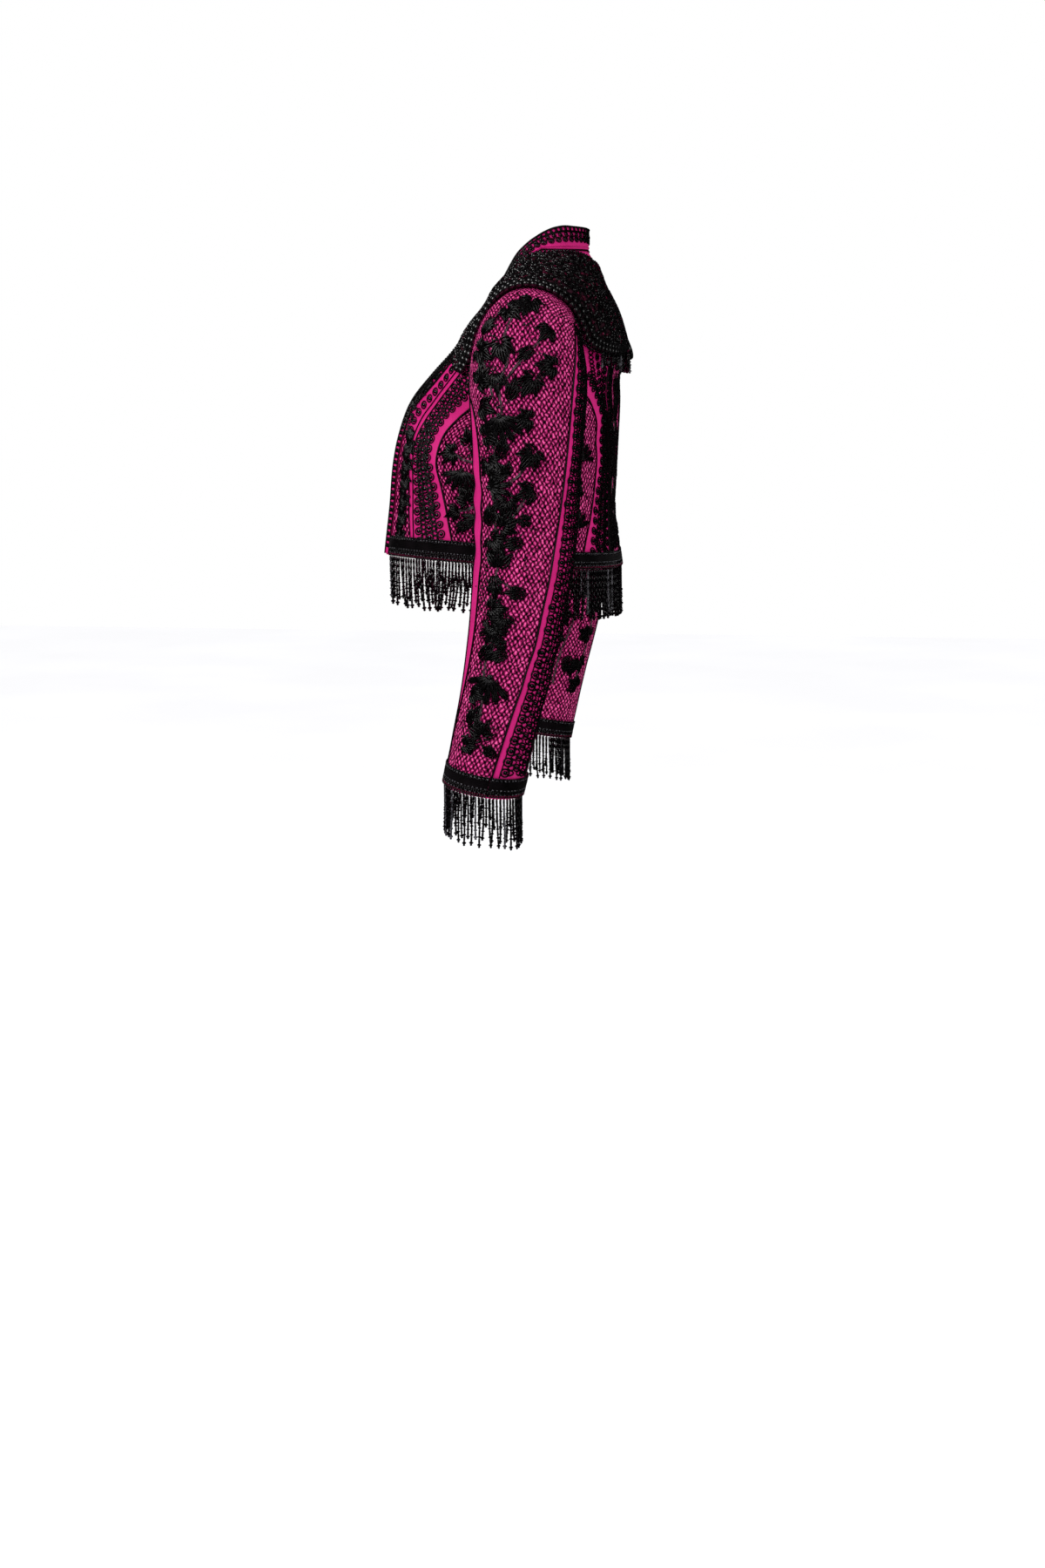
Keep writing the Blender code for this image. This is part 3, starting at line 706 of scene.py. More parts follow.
def bead(round_faces, rings, flatness):
    """A glass bead: a ball, flattened a little, with the thread's hole dimpled in."""
    afresh()
    bpy.ops.mesh.primitive_uv_sphere_add(segments=round_faces, ring_count=rings, radius=1)
    made = bpy.context.object
    bpy.ops.object.mode_set(mode="EDIT")
    bpy.ops.transform.resize(value=(1, 1, flatness))
    for end in (1, -1):
        pick(lambda co: co.z * end > 0.99 * flatness)
        bpy.ops.transform.translate(value=(0, 0, -0.22 * end))
    return Shape.taken(made)


def eyelet():
    """One turn of braid, laid in a ring."""
    afresh()
    bpy.ops.mesh.primitive_torus_add(major_segments=10, minor_segments=4, major_radius=0.82,
                                     minor_radius=0.18)
    made = bpy.context.object
    bpy.ops.object.mode_set(mode="EDIT")
    pick(lambda co: co.x > 0.55 and co.z > 0)
    bpy.ops.transform.resize(value=(1, 1, 1.25))
    return Shape.taken(made)


def bugle(length, girth, waist):
    """A glass tube lying along x, narrowed at its two ends."""
    afresh()
    bpy.ops.mesh.primitive_cylinder_add(vertices=4, radius=girth, depth=length,
                                        rotation=(0, math.pi / 2, 0))
    made = bpy.context.object
    bpy.ops.object.transform_apply(location=False, rotation=True, scale=True)
    bpy.ops.object.mode_set(mode="EDIT")
    bpy.ops.mesh.select_mode(type="FACE")
    bpy.ops.mesh.select_all(action="DESELECT")
    bpy.ops.object.mode_set(mode="OBJECT")
    for polygon in made.data.polygons:
        polygon.select = abs(polygon.normal.x) > 0.9
    bpy.ops.object.mode_set(mode="EDIT")
    bpy.ops.mesh.inset(thickness=girth * (1 - waist), depth=girth * 0.25)
    return Shape.taken(made)


def stitched_square():
    """A square of close satin stitch, raised in the middle."""
    afresh()
    bpy.ops.mesh.primitive_plane_add(size=2)
    made = bpy.context.object
    bpy.ops.object.mode_set(mode="EDIT")
    bpy.ops.mesh.extrude_region_move(TRANSFORM_OT_translate={"value": (0, 0, 0.55)})
    bpy.ops.mesh.inset(thickness=0.35, depth=0.3)
    bpy.ops.mesh.select_all(action="SELECT")
    bpy.ops.mesh.normals_make_consistent(inside=False)
    return Shape.taken(made)


BEAD = bead(6, 4, 0.85)
SEED = bead(5, 3, 0.85)
BIG_BEAD = bead(10, 6, 0.88)
EYELET = eyelet()
BUGLE = bugle(2.0, 1.0, 0.6)
SQUARE = stitched_square()


# Cloth panels -----------------------------------------------------------------
CELL = 4.0             # a panel has a point this far apart, each way
COARSE = 3             # and its lining one for every third of them
PUFF = 5.7             # the net's puffs are this far apart in a row
PUFF_ROW = 4.3         # and the rows this far apart
PUCKER = 0.35          # how far the net draws the cloth in and out between them
NETTED = 40.0          # well inside the net
PLAIN = -20.0          # and well outside it
LINING_GAP = 0.15
LINING_SLACK = 2.6     # how far the lining hangs free at the head of a sleeve
BACKWARDS = [0, 3, 2, 1]


def gap_angle(angle, z):
    """The torso angle that spans half the hairline between two panels."""
    return np.degrees(SEAM / np.linalg.norm(torso(angle, z)[..., :2], axis=-1))


def coons(top, bottom, left, right):
    """A patch in surface coordinates between four edges, each a function of 0 to 1."""
    corners = [np.stack(edge(end), -1)[0] for edge in (top, bottom)
               for end in (np.zeros(1), np.ones(1))]

    def place(u, v):
        above, below, before, after = (
            np.stack(edge(t), -1) for edge, t in ((top, u), (bottom, u), (left, v), (right, v)))
        u, v = u[..., None], v[..., None]
        flat = (1 - v) * ((1 - u) * corners[0] + u * corners[1])
        flat = flat + v * ((1 - u) * corners[2] + u * corners[3])
        whole = (1 - v) * above + v * below + (1 - u) * before + u * after - flat
        return whole[..., 0], whole[..., 1]

    return place


def hem_z(angle):
    return HEM.at(np.minimum(angle, 360 - angle))["z"]


def front_angle(z):
    return FRONT_EDGE.at(z)["angle"]


def panel_outer_edge(column, sign):
    """The outer edge of a front or back: down the armhole, then its shaping seam."""
    corner = armhole(sign * PRINCESS_TURN)[1]
    hem = hem_z(SHAPING_SEAMS.at(SEAM_FOOT)[column])

    def edge(v):
        angle, z = armhole(sign * PRINCESS_TURN * np.minimum(v / CORNER, 1))
        low = v > CORNER
        z = np.where(low, mix(corner, hem, np.clip((v - CORNER) / (1 - CORNER), 0, 1)), z)
        angle = np.where(low, SHAPING_SEAMS.at(z)[column], angle)
        return angle - sign * gap_angle(angle, z), z

    return edge


def front_patch():
    outer = panel_outer_edge("front_angle", 1)
    hem_front, hem_outer = hem_z(21.7), outer(np.ones(1))[0][0]

    def top(u):
        z = mix(FRONT_EDGE.keys[-1], armhole(0)[1], u)
        return 90 - gap_angle(90, z), z

    def inner(v):
        z = mix(FRONT_EDGE.keys[-1], hem_front, v ** 1.5)
        return front_angle(z), z

    def hem(u):
        angle = mix(front_angle(hem_front), hem_outer, u)
        return angle, hem_z(angle)

    return coons(top, hem, inner, outer)


def side_patch(column, sign):
    """A side piece, from its shaping seam to the side seam, between armhole and hem."""
    foot = SHAPING_SEAMS.at(SEAM_FOOT)[column]

    def seam(v):
        z = mix(armhole(sign * PRINCESS_TURN)[1], hem_z(foot), v)
        angle = SHAPING_SEAMS.at(z)[column]
        return angle + sign * gap_angle(angle, z), z

    def side(v):
        z = mix(armhole(180)[1], hem_z(90), v)
        return 90 - sign * gap_angle(90, z), z

    def top(u):
        return armhole(sign * mix(PRINCESS_TURN, 180, u))

    def hem(u):
        angle = mix(foot, 90, u)
        return angle, hem_z(angle)

    return coons(top, hem, seam, side)


def back_patch():
    """Half of the back, from its middle line to the armhole and the side-back seam."""
    outer = panel_outer_edge("back_angle", -1)

    def top(u):
        angle = np.where(u < CORNER, mix(180, 90, u / CORNER), 90 + gap_angle(90, 0))
        z = np.where(u < CORNER, neck_z(np.maximum(angle, 90)),
                     mix(neck_z(90), armhole(0)[1], (u - CORNER) / (1 - CORNER)))
        return angle, z

    def middle(v):
        return 180 + 0 * v, mix(neck_z(180), hem_z(180), v ** 1.5)

    def hem(u):
        angle = mix(180, outer(np.ones(1))[0][0], u)
        return angle, hem_z(angle)

    return coons(top, hem, middle, outer)


def sleeve_seams(ring):
    """Sleeve angles of the hind and the fore seam at a ring."""
    t = ramp(ring, 0, 4)
    hind, fore = -PRINCESS_TURN / 2, PRINCESS_TURN * 5 / 8
    return mix(hind, SLEEVE.at(ring)["hind_angle"], t), mix(fore, FORE_SEAM, t)


def sleeve_patch(under):
    """The upper sleeve piece between its two seams, or the under one."""
    def place(u, v):
        ring = LAST_RING * v
        gap = np.degrees(SEAM / SLEEVE.at(ring)["half_out"])
        hind, fore = sleeve_seams(ring)
        start, end = (fore, hind + 360) if under else (hind, fore)
        return mix(start + gap, end - gap, u), ring

    return place


def evened(face, patch, columns, rows):
    """Coordinates of a grid on a patch whose points are as evenly spaced as cloth threads."""
    fine = np.linspace(0, 1, 161)
    down = running(face.place(*patch(0.5 + 0 * fine, fine)))
    v = np.interp(np.linspace(0, down[-1], rows + 1), down, fine)
    u = []
    for share in v:
        across = running(face.place(*patch(fine, share + 0 * fine)))
        u.append(np.interp(np.linspace(0, across[-1], columns + 1), across, fine))
    return patch(np.array(u), np.broadcast_to(v[:, None], (rows + 1, columns + 1)))


def cells_across(face, patch):
    """Columns and rows of a panel, in whole coarse steps."""
    fine = np.linspace(0, 1, 60)
    middle = 0.5 + 0 * fine
    lengths = [gaps(face.place(*patch(u, v))).sum() for u, v in ((fine, middle), (middle, fine))]
    return [COARSE * max(2, round(length / CELL / COARSE)) for length in lengths]


def panel(name, face, patch, net=None, thick=CLOTH, side=1, turned=False):
    """A closed cloth shell: netted outside, with a lining inside that hangs free at a sleeve's
    head. net(a, b) is how far a place is inside the netted part, in millimetres."""
    columns, rows = cells_across(face, patch)
    a, b = evened(face, patch, columns, rows)
    j, i = np.mgrid[0:rows + 1, 0:columns + 1]
    margin = np.minimum(np.minimum(i, columns - i), np.minimum(j, rows - j)) * CELL
    border = np.minimum(PLAIN if net is None else net(a, b), margin + 0.4)
    relief = np.random.default_rng(rows * columns).uniform(-PUCKER, PUCKER, a.shape)
    outer = face.lift(a, b, thick + relief * ramp(border, 0, 2.5))
    wide = np.s_[::COARSE, ::COARSE]
    free = LINING_SLACK * (1 - ramp(b[wide], 3, 5)) if face is ARM else 0 * a[wide]
    inner = face.lift(a[wide], b[wide], LINING_GAP - free)

    cloth = np.arange(a.size).reshape(a.shape)
    lining = a.size + np.arange(a[wide].size).reshape(a[wide].shape)
    edge, lining_edge = rim(cloth), rim(lining)
    stretch = np.arange(0, len(edge), COARSE)[:, None] + np.arange(COARSE + 1)
    faces = [quads(cloth), quads(lining)[:, BACKWARDS],
             np.column_stack([edge[stretch % len(edge)], np.roll(lining_edge, -1), lining_edge])]
    if turned:
        faces = [group[:, ::-1] for group in faces]
    counts = [len(group) for group in faces]
    shell = Piece(name, SATIN, LINING)
    shell.add(np.concatenate([outer.reshape(-1, 3), inner.reshape(-1, 3)]),
              np.concatenate([group.ravel() for group in faces]),
              np.repeat([4, 4, COARSE + 3], counts), np.repeat([0, 1, 0], counts))
    made = shell.make(side)

    # The net follows the threads: each point keeps its cell, and how far inside the net it is.
    placed = face.place(a, b)
    down = np.zeros(a.shape)
    down[1:] = np.cumsum(gaps(placed), axis=0)
    cells = np.stack([(i / columns - 0.5) * gaps(placed, 1).sum(1, keepdims=True) / PUFF,
                      (down - down[-1]) / (2 * PUFF_ROW)], -1)
    cells = np.concatenate([cells.reshape(-1, 2), cells[wide].reshape(-1, 2)])
    vertices = np.zeros(len(made.data.loops), dtype=np.int32)
    made.data.loops.foreach_get("vertex_index", vertices)
    chart = made.data.uv_layers.new(name="cells")
    chart.data.foreach_set("uv", cells[vertices].astype(np.float32).ravel())
    mark = made.data.attributes.new("net_border", "FLOAT", "POINT")
    values = np.concatenate([border.ravel(), np.full(lining.size, PLAIN)])
    mark.data.foreach_set("value", values.astype(np.float32))
    return made


# Where the work lies, on the wearer's left side ---------------------------------------
SEAM_HEIGHTS = (-146, -170, -186, -205, -238, -270, -302)
PRINCESS, SIDE_BACK = (
    Line(BODY, [(float(SHAPING_SEAMS.at(z)[column]), z) for z in SEAM_HEIGHTS + feet])
    for column, feet in (("front_angle", (-330, -356)), ("back_angle", (-335, -368))))
# The wide looped band runs from the armhole down the front to the hem.
BAND_OUTER = Line(BODY, [(75, -133), (69, -146.5), (60, -162.5), (51, -180), (45.4, -198),
                         (42.8, -217.6), (43.3, -237), (45, -256), (46.6, -275), (48.6, -297),
                         (51, -322), (53.6, -350), (54, -356)])
BAND_INNER = Line(BODY, [(66, -106), (61.8, -119), (51.6, -144), (42.6, -168), (37.3, -187),
                         (34.5, -205), (33.6, -222), (33.7, -240), (34, -256), (34.5, -276),
                         (35.2, -300), (36.4, -327), (37.5, -355)])
# The narrow magenta line beside it, and the cord on its other side.
STRIP = Line(BODY, [(64, -104), (59, -117), (49, -141), (40.3, -166), (34.8, -186), (32.6, -205),
                    (31.8, -222), (31.8, -239), (32, -256), (32.5, -274), (33.2, -300),
                    (34.6, -327), (36, -356)])
SINGLE_ROW = Line(BODY, [(57, -107), (49.6, -127), (44, -144), (37.4, -162), (32.5, -177),
                         (30.2, -192), (29.6, -206)])
ROW_EDGE = Line(BODY, [(49, -110), (43, -128), (37.6, -144), (32, -161), (28.2, -175),
                       (26.6, -190), (26.6, -206)])
# Sleeve: plain strips at the front and behind, and a looped band behind.
FORE_CORD = Line(ARM, [(79, 4.6), (69, 5.1), (62, 5.7), (54, 6.9), (51, 7.9), (51, 8.75),
                       (52.5, 10.3), (57, 11.3), (65, 12.1), (73, 12.8), (79, CUFF_RING)])
HIND_CORD, FORE_SEAM_CORD = (
    Line(ARM, [(float(sleeve_seams(ring)[n]), ring) for ring in (*top, *range(1, 14), CUFF_RING)])
    for n, top in ((0, (0.05,)), (1, ())))
# The band on the sleeve: rings, and the degrees behind the hind seam of its two edges.
ARM_BAND = [(0.6, 1.5, 24), (2, 3, 27), (4, 5.5, 32), (5.7, 5.5, 34), (6.9, 7.5, 38),
            (7.8, 5, 40), (8.6, 7.5, 44), (10, 8, 50), (12, 8, 56), (13.5, 8, 60)]
ARM_BAND_INNER, ARM_BAND_OUTER = (
    Line(ARM, [(360 + float(sleeve_seams(row[0])[0]) - row[n], row[0]) for row in ARM_BAND])
    for n in (1, 2))
# Back: a plain strip behind the side-back seam, a looped band, a magenta line and a border.
BACK_BAND_INNER = Line(BODY, [
    (103, -90), (105.5, -118), (113, -137), (121.5, -151.9), (126.5, -163), (129.5, -173),
    (131.5, -184), (132, -200.9), (130.9, -219.2), (128.2, -243), (125.3, -261.5),
    (122.4, -285.6), (119.8, -305), (117.5, -330), (115.6, -366)])
# Heights down the back, and the angles of the band's edge, the line and the border there.
BACK_ROWS = [(-118, 141, 144, 157), (-150, 139, 142.3, 156), (-180, 142, 145.4, 158),
             (-205, 146, 149.4, 161), (-235, 149.5, 153, 163.5), (-262, 151, 154.6, 164.5),
             (-290, 151, 154.6, 164.5), (-320, 149, 152.4, 163), (-345, 146, 149, 160.5),
             (-366, 144, 147, 159)]
BACK_BAND_OUTER, BACK_LINE, BACK_BORDER = (
    Line(BODY, [top] + [(row[n], row[0]) for row in BACK_ROWS])
    for n, top in enumerate(((142, -86), (145, -100), (157, -100)), 1))


def angle_on(line, height):
    """The angle of a line of the body at a height."""
    order = np.argsort(line.b)
    return np.interp(height, line.b[order], line.a[order])


def body_reach(angle, from_angle, z):
    """Millimetres round the body from one angle to another."""
    return np.radians(angle - from_angle) * np.linalg.norm(torso(angle, z)[..., :2], axis=-1)


def front_net(a, b):
    """The netted part of a front: a narrow strip beside the braid, below the chest."""
    beside_braid = body_reach(a, front_angle(b), b) - BRAID_WIDTH
    beside_strip = body_reach(angle_on(STRIP, b), a, b)
    return np.minimum(np.minimum(beside_braid, beside_strip), CHEST_Z - b)


def back_net(a, b):
    """The netted middle of the back."""
    a = np.minimum(a, 360 - a)
    return np.minimum(body_reach(a, angle_on(BACK_BORDER, b), b), YOKE_Z - b)


def all_net(a, b):
    return NETTED + 0 * a


def arm_reach(angle, from_angle, ring):
    """Millimetres round the sleeve from one angle to another."""
    return np.radians(angle - from_angle) * SLEEVE.at(ring)["half_out"]


def upper_net(a, b):
    """The upper sleeve is netted up to the cord in front."""
    cord = np.interp(b, FORE_CORD.b, FORE_CORD.a)
    return np.where(b < FORE_CORD.b[0], NETTED, arm_reach(cord, a, b))


def under_net(a, b):
    """The under sleeve is netted beyond its looped band."""
    band = np.interp(b, ARM_BAND_OUTER.b, ARM_BAND_OUTER.a)
    return np.minimum(arm_reach(band, a, b) - 2, arm_reach(a, FORE_SEAM, b) - 6)


# Braid and beads --------------------------------------------------------------
def lay_cord(piece, line, radius=0.8, height=CLOTH, step=3.2, y=0.0, sides=5, mark=0):
    """A cord couched along a line, or beside it at y."""
    s = np.linspace(0, line.length, max(3, int(line.length / step)))
    a, b = line.beside(s, y) if y else line.at(s)
    normals = line.face.normal(a, b)
    points = line.face.place(a, b) + normals * (height + 0.75 * radius)
    sweep(piece, points, normals, radius * 1.15, radius, sides, mark)


def bead_row(piece, line, shape, size, pitch, height, mark=0, jitter=0.0, seed=0, keep=1.0):
    """Small shapes strung along a line, each up to a little beside it; keep is the share of
    them that is laid."""
    rng = np.random.default_rng(seed)
    s = (np.arange(int(line.length / pitch)) + 0.5) * pitch
    s = s[rng.random(len(s)) < keep]
    a, b = line.beside(s, jitter * rng.standard_normal(len(s)))
    shape.lay(piece, line.face, a, b, line.along(s), size, height, mark)


def lay_eyelets(piece, face, a, b, along, size, bead):
    """Rings of braid on the cloth, each round a bead."""
    EYELET.lay(piece, face, a, b, along, size, CLOTH + 0.5)
    BEAD.lay(piece, face, a, b, along, bead, CLOTH + 0.3, 1)


class Band:
    """A band between two lines of a face. Its places are told by a share of its length and
    a share of its width."""

    def __init__(self, inner, outer):
        self.inner, self.outer, self.face = inner, outer, inner.face
        self.length = (inner.length + outer.length) / 2

    def at(self, t, w):
        t, w = np.broadcast_arrays(np.asarray(t, float), np.asarray(w, float))
        first = self.inner.at(t * self.inner.length)
        second = self.outer.at(t * self.outer.length)
        return mix(first[0], second[0], w), mix(first[1], second[1], w)

    def point(self, t, w):
        return self.face.place(*self.at(t, w))

    def width(self, t):
        return np.linalg.norm(self.point(t, 1) - self.point(t, 0), axis=-1)

    def along(self, t, w):
        ahead = self.point(np.minimum(t + 0.004, 1), w)
        return unit(ahead - self.point(np.maximum(t - 0.004, 0), w))


def looped_band(piece, band, pitch, start=0.0, end=1.0, seed=0, columns=3, filled=1.0):
    """Braid worked in columns of eyelets, each round a bead, with cords woven between the
    columns: marks 0 braid, 1 beads. Beyond the share filled, smaller loops close the gaps."""
    rng = np.random.default_rng(seed)
    count = max(2, round(band.length * (end - start) / pitch))
    for column in range(columns):
        offset = 0.25 if column % 2 else 0.75
        t = start + (end - start) * (np.arange(count) + offset) / count
        w = (column + 0.5) / columns + 0.015 * rng.standard_normal(count)
        across = np.minimum(band.width(t) / columns * 0.5, pitch * 0.5)
        size = np.stack([np.full(count, pitch * 0.45), across, np.full(count, 6.0)], -1)
        size = size * rng.uniform(0.94, 1.05, (count, 3))
        if column not in (0, columns - 1):
            size = size * np.where(t < filled, 0.85, 1.14)[:, None] ** (1, 1, 0)
        lay_eyelets(piece, band.face, *band.at(t, w), band.along(t, w), size,
                    size * (0.5, 0.5, 0.38))
    for gap in range(1, columns):
        t = np.arange(filled, end - 0.02, 0.45 * pitch / band.length)
        a, b = band.at(t, gap / columns + 0.03 * rng.standard_normal(len(t)))
        size = np.stack([rng.uniform(3.6, 4.7, len(t)), rng.uniform(3.8, 4.9, len(t)),
                         np.full(len(t), 5.0)], -1)
        EYELET.lay(piece, band.face, a, b, band.along(t, gap / columns), size, CLOTH + 0.9)
    share = np.linspace(0, 1, 7 * count + 1)
    t, turn = start + (end - start) * share, share * count * 2 * np.pi
    reach = np.minimum(0.4 / columns, 4.8 / band.width(t))
    for gap in range(1, columns):
        for swing in (1, -1):
            a, b = band.at(t, gap / columns + swing * reach * np.sin(turn + np.pi * gap))
            normals = band.face.normal(a, b)
            lift = CLOTH + 0.7 + 0.4 * swing * np.cos(turn)[:, None]
            sweep(piece, band.face.place(a, b) + normals * lift, normals, 1.0, 0.85, 4)


# Leaves and blossoms ------------------------------------------------------------
def petal_rows(work, heading, length, half_width, rows, x, y):
    """Rows of seed beads that fan out from (x, y), swell apart and meet again at a point."""
    heading = math.radians(heading)
    ahead = np.array([math.cos(heading), math.sin(heading)])
    aside = np.array([-ahead[1], ahead[0]])
    t = np.linspace(0, 1, 7)
    bow = half_width * np.sqrt(4 * (0.06 + 0.92 * t) * (0.94 - 0.925 * t))
    lumps = 1.5 * (1 + 0.12 * np.cos(np.arange(7) * np.pi))
    lumps = lumps * (1 - 0.45 * np.abs(2 * t - 1) ** 3)
    for off in np.linspace(-1, 1, rows):
        reach = length * (1 - 0.3 * abs(off) ** 1.5)
        flat = (x, y) + ahead * (t * reach)[:, None] + aside * (off * bow)[:, None]
        z = 0.5 + 0.9 * np.sin(np.pi * (0.1 + 0.8 * t)) * (1 - 0.35 * abs(off))
        sweep(work, np.column_stack([flat, z]), UP, lumps, lumps, 3)


def leaf(*lobes):
    """A lobed leaf about 30 mm long: lobes of (heading, length, half width, rows, x, y)."""
    work = Piece("leaf")
    for lobe in lobes:
        petal_rows(work, *lobe)
    return Shape.joined(work)


def fan(work, rows, reach, arc, petals, girth, rise):
    """Rows of seed beads that radiate from a point to a scalloped edge."""
    t = np.linspace(0, 1, 6)
    z = rise + 1.1 * np.sin(np.pi * (0.12 + 0.75 * t))
    thick = girth * (0.5 + 0.5 * t) * (1 + 0.1 * np.cos(np.arange(6) * np.pi))
    for share in (np.arange(rows) + 0.5) / rows:
        scallop = math.pi * petals * share
        length = reach * (0.82 + 0.18 * abs(math.sin(scallop)))
        turn = math.radians(arc * (share - 0.5)) + 0.1 * math.sin(2 * scallop) * t
        distance = 1.2 + (length - 1.2) * t
        points = np.column_stack([distance * np.cos(turn), distance * np.sin(turn), z])
        sweep(work, points, UP, thick, thick, 3)


def blossom(petals, reach, arc):
    """A fan-shaped blossom: rows of beads in petals, and a shorter fan over them."""
    work = Piece("blossom")
    fan(work, 4 * petals, reach, arc, petals, 1.3, 0.5)
    fan(work, 3 * petals, reach * 0.55, arc * 0.85, petals, 1.1, 1.9)
    return Shape.joined(work)


# Leaves in small letters, blossoms in capitals, and a round bud.
MOTIFS = {
    "a": leaf((0, 20, 5.2, 5, 1, 0), (42, 17, 4.6, 4, 0, 1), (-44, 17, 4.6, 4, 0, -1),
              (92, 13, 3.6, 3, -2, 1), (-95, 13, 3.6, 3, -2, -1)),
    "b": leaf((5, 24, 5.6, 5, -5, 0), (44, 17, 4.4, 4, -4, 2), (-38, 18, 4.6, 4, -4, -2)),
    "c": leaf((0, 27, 6.4, 5, -12, 0), (26, 13, 3.2, 3, -4, 2), (-28, 13, 3.2, 3, -4, -2)),
    "d": leaf((-12, 19, 4.6, 4, 0, 0), (28, 20, 4.6, 4, 0, 0), (72, 15, 4.0, 4, -1, 1),
              (-56, 15, 4.0, 4, -1, -1), (-110, 11, 3.0, 3, -2, -1)),
    "F": blossom(7, 21, 165), "G": blossom(6, 20, 140), "H": blossom(7, 14, 352),
    "o": blossom(5, 9, 350)}
MOTIF_SIZE = 29.0      # about how long they are as they stand here


def headed(face, a, b, turn):
    """The direction at a turn, in radians, from a face's first coordinate to its second."""
    first, second = face.slopes(a, b)
    normal, first = unit(np.cross(first, second)), unit(first)
    turn = np.asarray(turn)[..., None]
    return first * np.cos(turn) + np.cross(normal, first) * np.sin(turn)


def lay_motifs(piece, face, rows, seed=0):
    """Leaves and blossoms at places on a face: rows of (a, b, kind, size in mm, heading)."""
    rng = np.random.default_rng(seed)
    turn = np.linspace(0, 2 * np.pi, 6, endpoint=False)
    for n, (a, b, kind, size, heading) in enumerate(rows):
        a, b = np.array([float(a)]), np.array([float(b)])
        along = headed(face, a, b, math.radians(heading))
        scale = size / MOTIF_SIZE * rng.uniform(0.95, 1.05)
        MOTIFS[kind].lay(piece, face, a, b, along, (scale, scale, 1.0),
                         CLOTH + 0.5 + 0.25 * (n % 3))
        if kind in "FGH":
            six = [np.repeat(part, 6, 0) for part in (a, b, along)]
            ring = face.shift(*six, 2.2 * np.cos(turn), 2.2 * np.sin(turn))
            BEAD.lay(piece, face, *ring, six[2], 1.5, CLOTH + 3.4, 1)
            BEAD.lay(piece, face, a, b, along, 2.0, CLOTH + 4.0, 1)


def lay_stems(piece, face, *stems):
    """Double grey stems along curves of places."""
    for places in stems:
        line = Line(face, places)
        for y in (-0.8, 0.8):
            lay_cord(piece, line, 0.5, CLOTH + 0.7, 3.5, y, sides=4, mark=2)


def scattered(piece, face, rows, seed):
    """Loose groups of small beads round the leaves: rows of (a, b, reach, count)."""
    rng = np.random.default_rng(seed)
    for a, b, reach, count in rows:
        a, b = np.full(count, float(a)), np.full(count, float(b))
        along = headed(face, a, b, 0.0)
        x, y = rng.standard_normal((2, count)) * reach / 2
        SEED.lay(piece, face, *face.shift(a, b, along, x, y), along,
                 rng.uniform(1.0, 1.5, count), CLOTH + 1.2, 1)


# Torso angle, height, kind, size and heading of each motif. Heading 90 points up.
FRONT_VINE = [
    (52.6, -227, "d", 30, 200), (60, -215, "a", 33, 60), (58, -249, "F", 40, 262),
    (66, -236, "b", 30, 30), (55, -298, "b", 27, 200), (60.5, -286, "a", 32, 120),
    (58.5, -316, "c", 27, 230), (66, -303, "F", 34, 250), (70, -202, "d", 32, 80),
    (72, -258, "c", 28, 60), (76, -228, "a", 30, 20), (74, -283, "d", 32, 330),
    (70, -326, "a", 30, 200), (81, -254, "b", 28, 40), (80, -312, "a", 32, 330),
    (68, -272, "o", 26, 0)]
FRONT_STEMS = [
    [(72, -198), (68, -216), (66, -240), (67, -264), (64, -290), (66, -322)],
    [(52.6, -227), (58, -236), (65, -240)], [(55, -298), (60, -296), (65, -290)],
    [(80, -312), (73, -306), (66, -304)], [(76, -228), (71, -238), (66, -246)]]
SIDE_VINE = [
    (112, -196, "a", 30, 100), (106, -216, "b", 28, 200), (113, -236, "G", 36, 60),
    (104, -254, "c", 28, 250), (110, -276, "d", 32, 120), (103, -298, "a", 30, 230),
    (109, -320, "F", 36, 90), (101, -338, "c", 26, 200), (98, -232, "o", 26, 0)]
SIDE_STEMS = [[(112, -190), (109, -214), (111, -240), (107, -268), (108, -300), (105, -332)]]
BACK_VINE = [
    (171, -150, "d", 32, 60), (174, -178, "a", 32, 120), (170, -206, "G", 36, 200),
    (175, -232, "b", 30, 60), (170, -256, "F", 38, 110), (175, -286, "c", 30, 250),
    (169.5, -300, "a", 30, 150), (174, -324, "H", 38, 90), (168.5, -340, "c", 26, 20)]
BACK_STEMS = [
    [(172, -140), (175, -170), (171, -200), (175, -235), (171, -265), (174, -300), (171, -335)]]
BODY_SCATTER = [
    (59, -232, 9, 14), (61, -268, 10, 16), (62, -306, 10, 16), (108, -262, 12, 14),
    (106, -310, 12, 12), (172, -220, 12, 12), (172, -312, 12, 12)]

